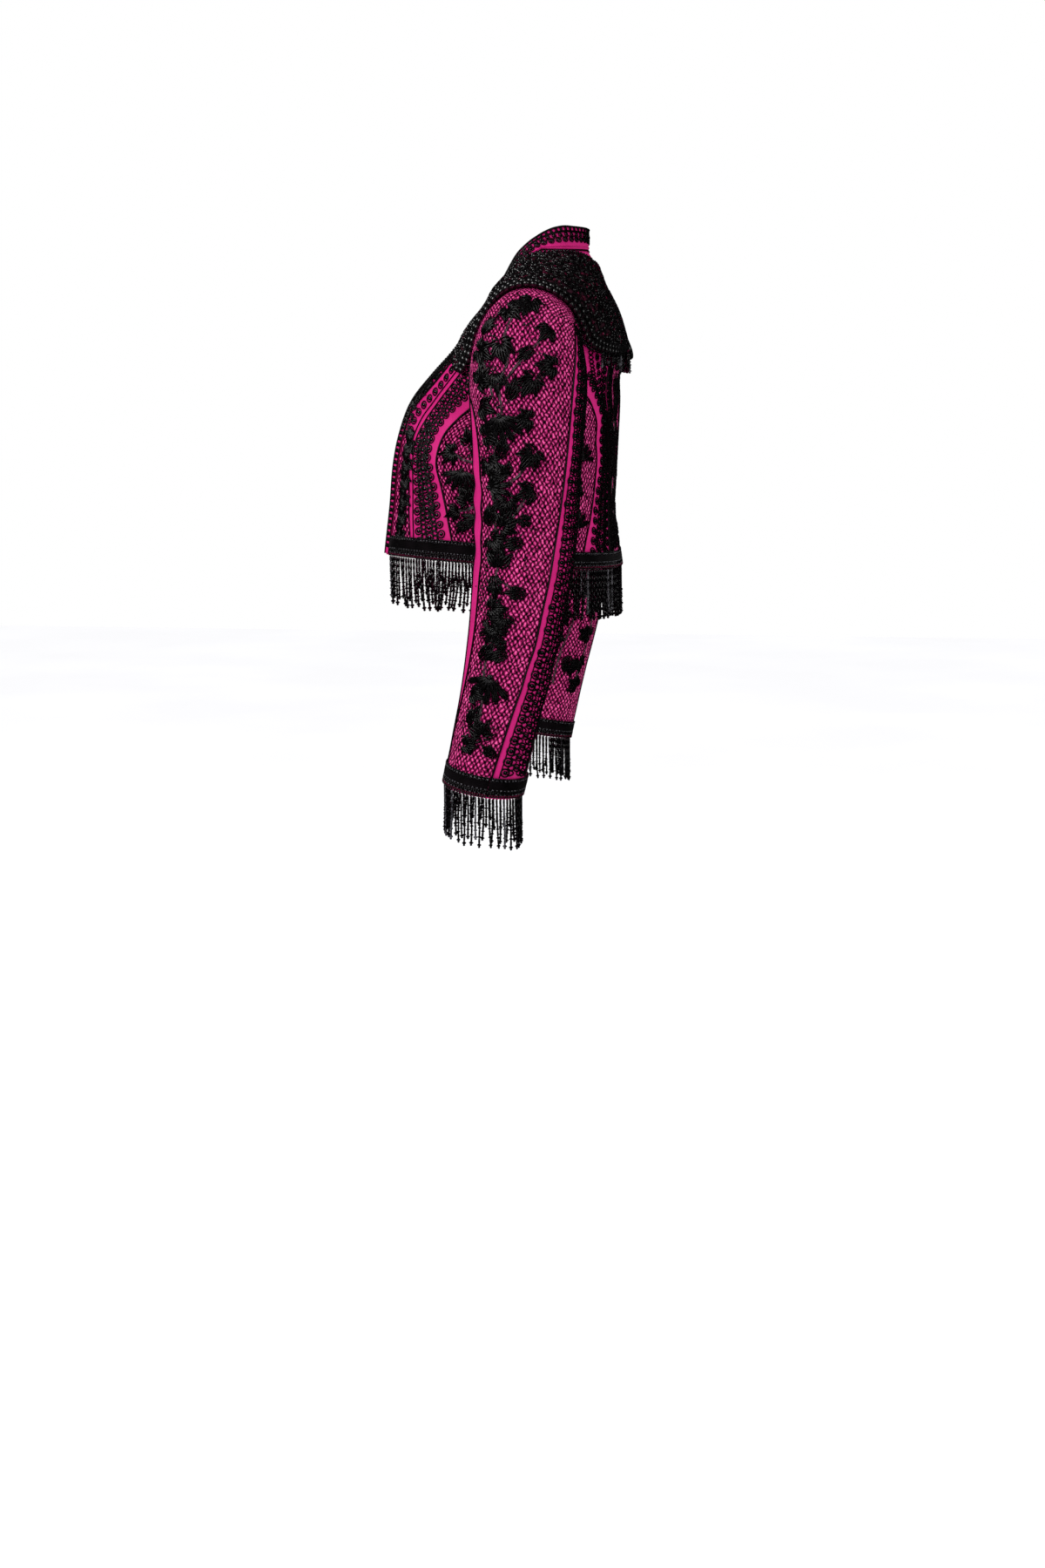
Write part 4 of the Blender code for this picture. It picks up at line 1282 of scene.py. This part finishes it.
# The same on the sleeve, by sleeve angle and ring.
VINE = [
    (-8, 1.75, "a", 34, 75), (14, 2.1, "d", 36, 140), (36, 2.5, "c", 28, 200),
    (-26, 2.9, "b", 30, 60), (48, 3.3, "a", 36, 130), (20, 3.5, "a", 34, 95),
    (-4, 3.9, "c", 28, 40), (-31, 4.15, "d", 34, 20), (47, 4.55, "d", 34, 220),
    (25, 4.65, "b", 32, 80), (-12, 4.75, "a", 34, 60), (8, 5.05, "c", 30, 250),
    (44, 5.5, "b", 32, 150), (22, 5.85, "F", 46, 95), (-8, 5.95, "d", 32, 10),
    (40, 6.35, "a", 34, 200), (20, 6.7, "c", 30, 250), (-13, 6.85, "a", 34, 50),
    (38, 7.05, "d", 34, 120), (18, 7.3, "b", 30, 300), (36, 7.6, "F", 38, 190),
    (-10, 7.65, "b", 32, 20), (14, 7.85, "a", 34, 80), (34, 8.15, "c", 34, 240),
    (-6, 8.25, "o", 28, 0), (17, 8.4, "d", 34, 220), (31, 8.7, "a", 34, 140),
    (6, 8.75, "c", 28, 20), (23, 9.15, "b", 36, 265), (-2, 9.75, "c", 30, 5),
    (24, 9.7, "c", 34, 100), (25, 10.15, "a", 30, 190), (8, 10.3, "a", 32, 60),
    (22, 10.6, "H", 34, 120), (9, 10.85, "o", 26, 0), (27, 11.05, "c", 30, 240),
    (15, 11.5, "G", 48, 80), (36, 11.9, "b", 28, 170), (10, 11.1, "c", 26, 30),
    (30, 12.3, "c", 32, 250), (12, 12.65, "a", 36, 300), (32, 12.95, "d", 28, 200),
    (-3, 12.95, "c", 24, 330)]
STEMS = [
    [(2, 1.6), (8, 2.4), (16, 3.2), (12, 4.0), (22, 4.9), (20, 5.8), (30, 6.6), (24, 7.4)],
    [(24, 7.4), (30, 8.2), (22, 9.0), (26, 9.8), (22, 10.6), (26, 11.4), (20, 12.2), (24, 13.1)],
    [(-26, 2.9), (-14, 3.6), (4, 4.3), (18, 4.9)], [(-31, 4.2), (-18, 4.7), (0, 5.1), (14, 5.5)],
    [(-8, 5.95), (4, 6.3), (22, 6.5)], [(-13, 6.85), (0, 7.3), (20, 7.6)],
    [(-10, 7.65), (4, 8.1), (20, 8.6)], [(-2, 9.75), (10, 9.6), (24, 9.5)],
    [(47, 3.4), (38, 4.2), (30, 5.2)], [(8, 10.3), (16, 10.8), (22, 11.2)]]
UNDER_VINE = [(200 + 20 * math.sin(2.4 * n), 3.4 + 0.62 * n, "acbdaGcb"[n % 8], 30 + 3 * (n % 3),
               60 + 140 * (n % 2)) for n in range(16)]
LOW_VINE = [(238 + 9 * math.sin(3.1 * n), 8.2 + 0.62 * n, "dabFcadb"[n], 30, 80 + 120 * (n % 2))
            for n in range(8)]


# The pieces of one side, on the wearer's left ------------------------------------------
SINGLE_EYELETS = 11
SQUARE_PITCH = 7.4


def body_braid():
    """Cords and looped bands on the front and the back."""
    work = Piece("body_braid", BRAID, JET)
    for radius, *lines in ((1.0, PRINCESS, SIDE_BACK), (0.75, STRIP, BAND_INNER, ROW_EDGE),
                           (0.8, BACK_LINE, BACK_BAND_OUTER), (0.9, BACK_BORDER)):
        for line in lines:
            lay_cord(work, line, radius)
    lay_cord(work, ROW_EDGE, 0.75, y=-2.6)
    looped_band(work, Band(BAND_INNER, BAND_OUTER), 12.2, seed=1, end=0.985, filled=0.42)
    looped_band(work, Band(BACK_BAND_INNER, BACK_BAND_OUTER), 12.2, seed=2, end=0.99, filled=0.5)
    looped_band(work, Band(BACK_LINE, BACK_BORDER), 10.4, 0.03, 0.985, seed=3, columns=2)
    s = (np.arange(SINGLE_EYELETS) + 0.5) / SINGLE_EYELETS * SINGLE_ROW.length
    lay_eyelets(work, BODY, *SINGLE_ROW.at(s), SINGLE_ROW.along(s), (5.3, 5.9, 6.0),
                (2.6, 2.9, 2.1))
    return work


def body_flowers():
    """Leaves, blossoms and stems on the netted parts of the body."""
    work = Piece("body_flowers", CUT_BEADS, JET, WIRE)
    for seed, vine, stems in ((5, FRONT_VINE, FRONT_STEMS), (6, SIDE_VINE, SIDE_STEMS),
                              (7, BACK_VINE, BACK_STEMS)):
        lay_motifs(work, BODY, vine, seed)
        lay_stems(work, BODY, *stems)
    scattered(work, BODY, BODY_SCATTER, 8)
    # The narrow vine beside the front edge below the chest.
    for n in range(13):
        z, other = -208 - 11 * n, n % 2
        place = float(front_angle(z)) + 6.6 + 0.7 * other
        lay_motifs(work, BODY, [(place, z, "cbcd"[n % 4], 22 + 2 * other, 245 + 55 * other)],
                   20 + n)
    lay_stems(work, BODY, [(float(front_angle(z)) + 6.6 + 0.5 * math.sin(z / 9), z)
                           for z in range(-206, -346, -12)])
    # And above it, as wide as there is room between the front braid and the cords.
    for n in range(16):
        z = -64 - 9 * n
        edge, cord = float(front_angle(z)), float(angle_on(ROW_EDGE, z))
        room = float(body_reach(cord, edge, z)) - BRAID_WIDTH
        lay_motifs(work, BODY, [(mix(edge, cord, 0.62), z, "bcad"[n % 4],
                                 min(22.0, 10 + 0.75 * room), 75 + 40 * (n % 2))], 40 + n)
    scattered(work, BODY, [(float(front_angle(z)) + 4.2, z, 4.5, 12)
                           for z in range(-70, -210, -7)], 9)
    return work


def ribbon(piece, line, width, height, thick):
    """A flat closed strip beside a line."""
    s = np.linspace(0, line.length, int(line.length / CELL))
    corners = [line.face.lift(*line.beside(s, y), height + rise + 0 * s)
               for y, rise in ((0, 0), (0, thick), (width, thick), (width, 0))]
    piece.add(np.stack(corners, 1).reshape(1, -1, 3), *tube(len(s), 4))


def front_braid():
    """Satin-stitched black squares between two cords, down the front edge."""
    work = Piece("front_braid_work", SATIN, BRAID, JET)
    seat, top = CLOTH + LAY_GAP, CLOTH + LAY_GAP + TRIM
    heights = [neck_z(np.float64(52.5)), *np.linspace(-60, -353, 22)]
    edge = Line(BODY, [(front_angle(z), float(z)) for z in heights])
    ribbon(work, edge, BRAID_WIDTH, seat - 0.4, TRIM)
    lay_cord(work, edge, 1.0, seat + 0.5, y=-0.6, mark=1)
    lay_cord(work, edge, 0.8, seat + 0.6, y=BRAID_WIDTH, mark=1)
    s = (np.arange(int(edge.length / SQUARE_PITCH)) + 0.5) * SQUARE_PITCH
    high = s[edge.at(s)[1] > -196]
    BIG_BEAD.lay(work, BODY, *edge.beside(high + SQUARE_PITCH / 2, BRAID_WIDTH * 0.5),
                 edge.along(high), 1.7, top + 0.2, 2)
    a, b = edge.beside(s, BRAID_WIDTH * 0.52)
    SQUARE.lay(work, BODY, a, b, edge.along(s), (2.5, 3.7, 1.3), top - 0.7, 1)
    BEAD.lay(work, BODY, a, b, edge.along(s), 1.1, top + 0.8, 2)
    return work


def sleeve_braid():
    """Cords along the sleeve seams and strips, and the looped band behind."""
    work = Piece("sleeve_braid", BRAID, JET)
    for line, radius, y in ((HIND_CORD, 1.0, 0), (FORE_CORD, 1.0, 0), (FORE_SEAM_CORD, 0.9, 0),
                            (ARM_BAND_OUTER, 0.8, -1.5), (ARM_BAND_OUTER, 0.8, 2.4),
                            (ARM_BAND_INNER, 0.7, 2.0)):
        lay_cord(work, line, radius, y=y)
    looped_band(work, Band(ARM_BAND_INNER, ARM_BAND_OUTER), 13.2, 0.01, 0.995, seed=4)
    round_arm = Line(ARM, [(angle, 0.12) for angle in range(-180, 181, 20)])
    lay_cord(work, round_arm, 1.0, CLOTH - 0.6)
    return work


def sleeve_flowers():
    """The long vine of leaves and blossoms down the outside of the sleeve, and two inside."""
    work = Piece("sleeve_flowers", CUT_BEADS, JET, WIRE)
    lay_motifs(work, ARM, VINE, 11)
    lay_stems(work, ARM, *STEMS)
    rng = np.random.default_rng(12)
    rows = [(32 + 5 * math.sin(ring * 2.1) + rng.uniform(-4, 4), ring, 11, 9)
            for ring in np.arange(2.2, 13.3, 0.34)]
    rows += [(2 + 14 * math.sin(ring * 1.3), ring, 14, 5) for ring in np.arange(2.0, 13.2, 0.8)]
    scattered(work, ARM, rows, 13)
    lay_motifs(work, ARM, UNDER_VINE, 14)
    lay_stems(work, ARM, [(205 + 10 * math.sin(r * 1.4), r) for r in np.arange(3, 13.2, 0.8)])
    lay_motifs(work, ARM, LOW_VINE, 15)
    lay_stems(work, ARM, [(238 + 6 * math.sin(r * 1.8), r) for r in np.arange(7.8, 13.2, 0.6)])
    return work


# Borders and strings of beads -------------------------------------------------------
# A string of tubes and round beads: millimetres down from its top, and how thick it is there.
STRING = np.array([
    (0, 0.5), (0.8, 1), (6, 1), (6.6, 0.5), (7.4, 1.25), (8.2, 0.5), (8.8, 1), (14, 1), (14.6, 0.5),
    (15.4, 1.25), (16.2, 0.5), (17, 1), (23, 1), (23.6, 0.5), (24.6, 1.3), (25.6, 0.5), (26.2, 1),
    (32, 1), (32.6, 0.6), (34.2, 1.85), (35.8, 0.6), (36.4, 1), (42, 1), (42.6, 0.6), (44.2, 1.9),
    (45.8, 0.6), (46.5, 1), (51, 1), (51.6, 0.7), (53.4, 2.2), (55.2, 0.8), (56, 1.3), (57, 0.4)])
STRING_GIRTH = 1.562   # half the thickness of a tube
STRING_PITCH = 4.6     # strings are this far apart
BAND_TOP = CLOTH + LAY_GAP + TRIM - 0.4


def strings(piece, tops, aside, lengths, lean, seed, girth=1.0, first=0):
    """Strings that hang from their tops and lean aside at the foot, from a row of STRING on."""
    rng = np.random.default_rng(seed)
    count = (len(tops), 1)
    down, thick = STRING[first:].T
    share = (down - down[0]) / (down[-1] - down[0])
    sway = lean[:, None] * share ** 1.5
    sway = sway + 0.5 * np.sin(share * 5 + rng.uniform(0, 6, count)) * share
    front = unit(np.cross(aside, UP))
    out = 0.7 * rng.standard_normal(count) * share
    points = (tops[:, None] - UP * (share * lengths[:, None])[..., None]
              + aside[:, None] * sway[..., None] + front[:, None] * out[..., None])
    thick = thick * STRING_GIRTH * girth * rng.uniform(0.93, 1.07, count)
    black = rng.random(len(tops)) < 0.9
    for chosen, mark in ((black, 0), (~black, 1)):
        sweep(piece, points[chosen], front[chosen, None], thick[chosen], thick[chosen], mark=mark)


def slab(piece, face, a, b, low, high):
    """A closed flat shell over a grid of places, between two heights."""
    over, under = face.lift(a, b, high + 0 * a), face.lift(a, b, low + 0 * a)
    grid = np.arange(a.size).reshape(a.shape)
    top, edge = quads(grid)[:, BACKWARDS], rim(grid)
    after = np.roll(edge, -1)
    faces = np.concatenate([top, top[:, ::-1] + a.size,
                            np.column_stack([after, edge, edge + a.size, after + a.size])])
    upward = np.cross(over[0, 1] - over[0, 0], over[1, 0] - over[0, 0])
    if (upward * face.normal(a[:1, :1], b[:1, :1])[0, 0]).sum() < 0:
        faces = faces[:, ::-1]
    piece.add(np.concatenate([over.reshape(-1, 3), under.reshape(-1, 3)]), faces.ravel(),
              [4] * len(faces))


# Rows of a beaded border, from its top down: share of its height, what is laid, how far
# apart, its size, and the finish.
BORDER = [(0.965, "seed", 2.6, 1.15, 1), (0.895, "tube", 4.6, 0.8, 2), (0.83, "seed", 2.6, 1.0, 1),
          (0.775, "cord", 0, 0.8, 0), (0.45, "cord", 0, 0.8, 0), (0.385, "tube", 4.6, 0.8, 2),
          (0.31, "seed", 2.6, 1.2, 1), (0.235, "seed", 2.6, 1.2, 1), (0.16, "tube", 5.2, 0.8, 2),
          (0.09, "seed", 2.7, 1.2, 3), (0.02, "seed", 2.6, 1.2, 1)]
PADDING = (0.71, 0.65, 0.58, 0.51)


def border(name, face, a, b, line_at):
    """A velvet band over a grid of places, worked with the rows of BORDER and with a padded
    stripe between them. line_at(share) is the line at a share of its height."""
    work = Piece(name, VELVET, JET, SMOKE, GARNET)
    slab(work, face, a, b, CLOTH + LAY_GAP, BAND_TOP)
    for share, kind, pitch, size, mark in BORDER:
        line = line_at(share)
        if kind == "seed":
            bead_row(work, line, SEED, size, pitch, BAND_TOP + 0.4 * size, mark)
        elif kind == "tube":
            bead_row(work, line, BUGLE, (0.9, size, size), pitch, BAND_TOP + 0.6 * size, mark)
        else:
            lay_cord(work, line, size, BAND_TOP - 0.3, 6)
    for share in PADDING:
        lay_cord(work, line_at(share), 1.15, BAND_TOP - 0.75, 6)
    return work


def hem_height(angle, share):
    row = HEM.at(np.minimum(angle, 360 - angle))
    return row["z"] + share * row["band_height"]


def hem_border():
    first = float(front_angle(-345)) + 2.6
    angles = np.linspace(first, 360 - first, 121)
    a, share = np.meshgrid(angles, (0.0, 0.5, 1.0))
    return border("hem_border", BODY, a, hem_height(a, share), lambda share: Line(
        BODY, [(angle, float(hem_height(angle, share))) for angle in angles[::2]]))


def uneven(count, long, short, rng):
    """Lengths of strings, long and short by turns."""
    return np.where(np.arange(count) % 2, long, short) + rng.uniform(-2, 2, count)


# Where the hem's strings are drawn together: torso angle, how strongly, and over what reach.
DRAWN = ((56, 0.4, 34), (34, 0.1, 25), (95, 0.25, 22), (150, 0.3, 24),
         (205, 0.3, 26), (262, 0.25, 22), (300, 0.35, 30), (330, 0.3, 22))


def hem_strings():
    """Strings along the whole hem, of uneven length, drawn together here and there."""
    work = Piece("hem_strings", JET, SMOKE)
    first = float(front_angle(-350)) + 2.0
    edge = Line(BODY, [(angle, float(hem_height(angle, 0)) - 0.8)
                       for angle in np.linspace(first, 360 - first, 60)])
    s = np.arange(2.5, edge.length, STRING_PITCH)
    a, b = edge.at(s)
    rng = np.random.default_rng(30)
    lean = 0.625 * rng.standard_normal(len(s)) ** 3
    for middle, pull, reach in DRAWN:
        away = edge.length * (middle - first) / (360 - 2 * first) - s
        lean += away * pull * np.exp(-(away / reach) ** 2)
    strings(work, BODY.lift(a, b, 1.6 + 0 * a), edge.along(s), uneven(len(s), 61, 53, rng), lean,
            31)
    return work


CUFF_START, CUFF_END = float(SLEEVE.at(LAST_RING)["hind_angle"]) + np.array([0.4, 359.6])


def cuff_line(ring):
    return Line(ARM, [(angle, ring) for angle in np.linspace(CUFF_START, CUFF_END, 41)])


def cuff_border():
    a, b = np.meshgrid(np.linspace(CUFF_START, CUFF_END, 61), (13.97, 13.75, CUFF_RING))
    return border("cuff_border", ARM, a, b, lambda share: cuff_line(13.97 - 0.45 * share))


def cuff_strings():
    """Strings round a wrist, hanging straight down from its slanting edge."""
    work = Piece("cuff_strings", JET, SMOKE)
    edge = cuff_line(13.99)
    s = np.arange(2.3, edge.length - 1, STRING_PITCH)
    a, b = edge.at(s)
    rng = np.random.default_rng(32)
    lengths = uneven(len(s), 60, 52, rng)
    lean = 1.6 * rng.standard_normal(len(s)) + 1.5 * np.sin(s / 23)
    strings(work, ARM.lift(a, b, 1.6 + 0 * a) - UP, unit(edge.along(s) * (1, 1, 0)), lengths,
            lean, 33, girth=0.86)
    return work


# Collar and shoulder pieces -----------------------------------------------------------
COLLAR_END = 50.5
SCALLOP = 9.2          # the collar's large loops are this far apart


def collar_line(rise):
    return Line(NECK, [(angle, rise) for angle in np.linspace(COLLAR_END, 360 - COLLAR_END, 41)])


def eyelet_row(piece, line, pitch, size, bead, rise=0.4):
    """Rings of braid along a line of the collar, each round a bead."""
    bead_row(piece, line, EYELET, size, pitch, COLLAR_CLOTH + 0.5)
    bead_row(piece, line, BEAD, bead, pitch, COLLAR_CLOTH + rise, mark=1)


def collar_work():
    """The worked rows of the standing collar, from its top edge down."""
    work = Piece("collar_work", BRAID, JET, SATIN)
    for rise, radius in ((0.985, 1.0), (0.745, 0.75), (0.80, 0.6)):
        lay_cord(work, collar_line(rise), radius, COLLAR_CLOTH)
    for end in (COLLAR_END, 360 - COLLAR_END):
        upright = Line(NECK, [(end, rise) for rise in np.linspace(0.02, 0.98, 6)])
        lay_cord(work, upright, 0.9, COLLAR_CLOTH)
    bead_row(work, collar_line(0.89), SQUARE, (1.7, 1.9, 1.3), 6.6, COLLAR_CLOTH)
    rosettes = collar_line(0.63)
    eyelet_row(work, rosettes, 8.2, (3.2, 2.9, 4), 1.7, 0.8)
    eyelet_row(work, collar_line(0.42), SCALLOP, (4.2, 3.9, 5), (2.4, 2.2, 1.5))
    for first, last in ((52, 84), (308, 276)):
        lower = Line(NECK, [(angle, 0.18) for angle in np.linspace(first, last, 9)])
        eyelet_row(work, lower, 9.0, (4.0, 3.7, 5), (1.9, 1.7, 1.5))
    s = np.linspace(0, rosettes.length, 330)
    a, b = rosettes.beside(s, -3.2 + 1.6 * np.sin(s / SCALLOP * np.pi * 2))
    normals = NECK.normal(a, b)
    sweep(work, NECK.place(a, b) + normals * (COLLAR_CLOTH + 0.6), normals, 0.75, 0.7, 4)
    lay_cord(work, collar_line(0.13), 0.8, COLLAR_CLOTH - 0.5, mark=2)
    lay_cord(work, collar_line(-0.05), 1.1, COLLAR_CLOTH - 0.6)
    return work


def shoulder_shell():
    """The stiffened ground of a shoulder piece."""
    work = Piece("shoulder_ground", LACE)
    slab(work, SHOULDER, *np.meshgrid(np.linspace(0, 1, 9), np.linspace(0, 12, 41)), 0.0, PLATE)
    return work


def shoulder_width(rows):
    """How wide a shoulder piece is at its rows, from the neck to its outer edge."""
    size = SHOULDER_PIECE.at(rows)
    inner, outer = torso(size["in_angle"], size["in_z"]), torso(size["out_angle"], size["out_z"])
    return np.linalg.norm(inner - outer, axis=-1)


def shoulder_line(inward, rows):
    """A line at a distance in from the outer edge of a shoulder piece."""
    return Line(SHOULDER, list(zip(1 - inward / shoulder_width(rows), rows)))


def shoulder_column(share, first, last, count):
    """A line down a shoulder piece at a share of its width."""
    return Line(SHOULDER, [(share, row) for row in np.linspace(first, last, count)])


EDGE_CHAINS = (0.3, 8.4)    # the round beads on the edge are this far in
CORD_IN = 13.0              # and so is the cord beside them
LOOSE_IN = 12.5             # and the outermost loose beads
LOOSE_BEADS = 2100
LOOP_PITCH = 8.2
LOOP_COLUMNS = (0.13, 0.25, 0.37, 0.49, 0.61, 0.73)
# Which share of the loose beads is what, how large, and in which finish.
LOOSE_KINDS = ((0, 0.1, BEAD, 2.1, 2), (0.1, 0.36, BEAD, 2.8, 4), (0.36, 0.66, SEED, 1.7, 1),
               (0.66, 1, BUGLE, (3.2, 1.4, 1.4), 3))


def shoulder_work():
    """Close loops of braid and beads all over a shoulder piece, and round beads on its edge."""
    work = Piece("shoulder_work", BRAID, JET, GARNET, CUT_BEADS, POLISHED)
    rng = np.random.default_rng(50)
    for inward in EDGE_CHAINS:
        edge = shoulder_line(inward, np.linspace(0.1, 12, 60))
        s = np.arange(3, edge.length, LOOP_PITCH)
        BIG_BEAD.lay(work, SHOULDER, *edge.at(s), edge.along(s),
                     rng.uniform(3.9, 4.2, len(s)), PLATE + 1.7, 4)
    bead_row(work, shoulder_column(0.0, 0.1, 12, 40), BEAD, 2.2, 5.0, PLATE + 0.4, mark=1)
    hanging = shoulder_column(1.03, 7.5, 11.9, 24)
    bead_row(work, hanging, EYELET, (3.6, 3.9, 6), 6.2, PLATE - 1.0, jitter=0.5, seed=51)
    bead_row(work, hanging, BEAD, 2.0, 6.2, PLATE - 1.0, jitter=0.8, seed=52, mark=1)
    lay_cord(work, shoulder_line(CORD_IN, np.linspace(0.3, 11.7, 40)), 1.2, PLATE)
    lay_cord(work, shoulder_column(0.07, 0.3, 11.7, 40), 1.1, PLATE)
    for n, share in enumerate(LOOP_COLUMNS):
        line = shoulder_column(share, 0.6, 11.6, 40)
        s = np.arange(4 + 4 * (n % 2), line.length - 2, LOOP_PITCH) + 1.2 * rng.standard_normal()
        a, b = line.beside(s, 1.8 * rng.standard_normal(len(s)))
        size = np.stack([rng.uniform(3.8, 5.6, len(s)), rng.uniform(3.4, 5.0, len(s)),
                         np.full(len(s), 9.0)], -1)
        tilt = rng.uniform(-0.5, 0.5, len(s))[:, None]
        along = line.along(s)
        along = unit(along + tilt * np.cross(SHOULDER.normal(a, b), along))
        EYELET.lay(work, SHOULDER, a, b, along, size, PLATE + 0.4)
        BEAD.lay(work, SHOULDER, a, b, along, size * (0.5, 0.5, 0.4), PLATE + 0.4, 1)
    # Rows wide apart at their two ends get more of the loose beads.
    b = rng.uniform(0.3, 11.8, LOOSE_BEADS)
    wide = shoulder_width(b)
    a = rng.uniform(0.04, np.maximum(0.05, 1 - LOOSE_IN / wide))
    kept = rng.random(LOOSE_BEADS) < wide / wide.max()
    a, b = a[kept], b[kept]
    along = headed(SHOULDER, a, b, rng.uniform(0, 2 * np.pi, len(a)))
    kinds = rng.random(len(a))
    for least, most, shape, size, mark in LOOSE_KINDS:
        chosen = (kinds >= least) & (kinds < most)
        shape.lay(work, SHOULDER, a[chosen], b[chosen], along[chosen], size, PLATE + 0.9, mark)
    return work


def tassel_strings():
    """A ragged row of short strings under the back lobe of a shoulder piece."""
    work = Piece("tassel_strings", JET, SMOKE)
    rng = np.random.default_rng(60)
    rows = np.sort(rng.uniform(9.9, 11.8, 44))
    size = SHOULDER_PIECE.at(rows)
    angle, z = size["out_angle"], size["out_z"]
    stand = PLATE_LIFT + lobe_stand(angle, z) + rng.uniform(-0.5, 2.5, len(rows))
    tops = BODY.lift(angle, z - 0.5, stand)
    aside = unit(BODY.slopes(angle, z)[0])
    lengths = rng.uniform(10, 22, len(rows))
    lean = 3.5 * rng.standard_normal(len(rows))
    strings(work, tops, aside, lengths, lean, 61, girth=0.9, first=17)
    return work


# The whole jacket ----------------------------------------------------------------
def back_whole(u, v):
    """The back from its left edge to its right one."""
    a, z = back_patch()(np.abs(2 * u - 1), v)
    return np.where(u > 0.5, 360 - a, a), z


def collar_patch(u, v):
    """The collar cloth, which laps 4 mm over the neckline seam."""
    return mix(49.6, 310.4, u), mix(-0.14, 1, v)


def finished(make, side=1, suffix="", *nodes):
    """A piece of work, in the place of the CAD nodes it stands for."""
    work = make()
    work.name += suffix
    made = work.make(side)
    if nodes:
        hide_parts(*nodes)
    return made


back = panel("back_cloth", BODY, back_whole, back_net)
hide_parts("back")
collar_cloth = panel("collar_cloth", NECK, collar_patch, thick=COLLAR_CLOTH, turned=True)
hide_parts("collar")
CLOTHS = {"back_cloth": (back, []), "collar_cloth": (collar_cloth, [])}

# The panels of a side: node, face, patch, net, and whether the patch runs the other way.
PANELS = (("front", BODY, front_patch(), front_net, False),
          ("side_front", BODY, side_patch("front_angle", 1), all_net, False),
          ("side_back", BODY, side_patch("back_angle", -1), all_net, True),
          ("upper_sleeve", ARM, sleeve_patch(False), upper_net, True),
          ("under_sleeve", ARM, sleeve_patch(True), under_net, True))
# What hangs with them and with the back, and the node it stands for.
WORKS = {"front_cloth": ((front_braid, "front_braid"), (body_braid,), (body_flowers,)),
         "upper_sleeve_cloth": ((sleeve_braid,), (sleeve_flowers,), (cuff_border, "cuff_band"),
                                (cuff_strings, "cuff_fringe")),
         "back_cloth": ((shoulder_shell, "shoulder_piece"), (shoulder_work,),
                        (tassel_strings, "tassel"))}

for side, suffix in ((1, "_left"), (-1, "_right")):
    for node, face, patch, net, turned in PANELS:
        name = node + "_cloth" + suffix
        cloth = panel(name, face, patch, net, side=side, turned=turned)
        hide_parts(node + suffix)
        CLOTHS[name] = (cloth, [])
    for name, works in WORKS.items():
        name = name if name in CLOTHS else name + suffix
        for make, *nodes in works:
            CLOTHS[name][1].append(
                finished(make, side, suffix, *(node + suffix for node in nodes)))

CLOTHS["collar_cloth"][1].append(finished(collar_work))
CLOTHS["back_cloth"][1].extend([
    finished(hem_border, 1, "", "hem_band_left", "hem_band_right", "hem_band_back"),
    finished(hem_strings, 1, "", "hem_fringe_left", "hem_fringe_right", "hem_fringe_back")])

# Studio ---------------------------------------------------------------------------
FLOOR_Z = -1.568       # well under the jacket, which floats over it
MIDDLE = Vector((0, 0, -0.3))
CAMERA_PLACE = (2.6779, 0.34606, -0.21)
CAMERA_TURN, CAMERA_DIP = math.radians(8), math.radians(9.38)
LENS, FRAME_HEIGHT = 48.06, 36


def floor():
    """A wide pale floor, level all over."""
    afresh()
    bpy.ops.mesh.primitive_grid_add(x_subdivisions=40, y_subdivisions=40, size=24,
                                    location=(0, 0, FLOOR_Z))
    made = bpy.context.object
    made.name = "floor"
    bpy.ops.object.transform_apply(location=True)
    made.data.materials.append(FLOOR)
    made.visible_glossy = False


def facing(direction):
    return direction.to_track_quat("-Z", "Y").to_euler()


def set_up(name, data, place=(0, 0, 0), turn=(0, 0, 0)):
    """A light or a camera, at its place in the studio."""
    made = bpy.data.objects.new(name, data)
    made.location, made.rotation_euler = place, turn
    bpy.context.scene.collection.objects.link(made)
    return made


def softbox(name, place, size, power, glossy):
    light = bpy.data.lights.new(name, "AREA")
    light.shape = "RECTANGLE"
    light.size, light.size_y = size
    light.energy = power
    set_up(name, light, place, facing(MIDDLE - Vector(place))).visible_glossy = glossy


floor()
softbox("key", (2.0, -2.2, 1.5), (1.7, 1.7), 56, True)
softbox("fill", (2.4, 2.3, 0.8), (0.8, 1.8), 15, True)
softbox("rear", (-2.4, 1.6, 1.2), (1.2, 1.6), 30, False)
softbox("far", (-2.2, -1.9, 0.8), (1.2, 1.6), 24, False)
overhead = bpy.data.lights.new("overhead", "SUN")
overhead.energy = 1.7
overhead.angle = math.radians(100)
set_up("overhead", overhead).visible_glossy = False

# White to the eye, and a little dimmer as light.
world = bpy.data.worlds.new("white studio")
bpy.context.scene.world = world
world.use_nodes = True
sky = world.node_tree
sky.nodes.clear()
seen = add(sky, "Background", {"Color": linear("#FFFFFF"), "Strength": 1.0}).outputs[0]
lit = add(sky, "Background", {"Color": linear("#F4F4F6"), "Strength": 0.6}).outputs[0]
ray = add(sky, "LightPath").outputs["Is Camera Ray"]
add(sky, "OutputWorld", {0: add(sky, "MixShader", {0: ray, 1: lit, 2: seen}).outputs[0]})
world.cycles_visibility.glossy = False
bpy.context.scene.view_settings.view_transform = "Standard"

lens = bpy.data.cameras.new("camera")
lens.lens, lens.sensor_width = LENS, FRAME_HEIGHT
look = Vector((-math.cos(CAMERA_TURN) * math.cos(CAMERA_DIP),
               -math.sin(CAMERA_TURN) * math.cos(CAMERA_DIP), -math.sin(CAMERA_DIP)))
bpy.context.scene.camera = set_up("camera", lens, CAMERA_PLACE, facing(look))
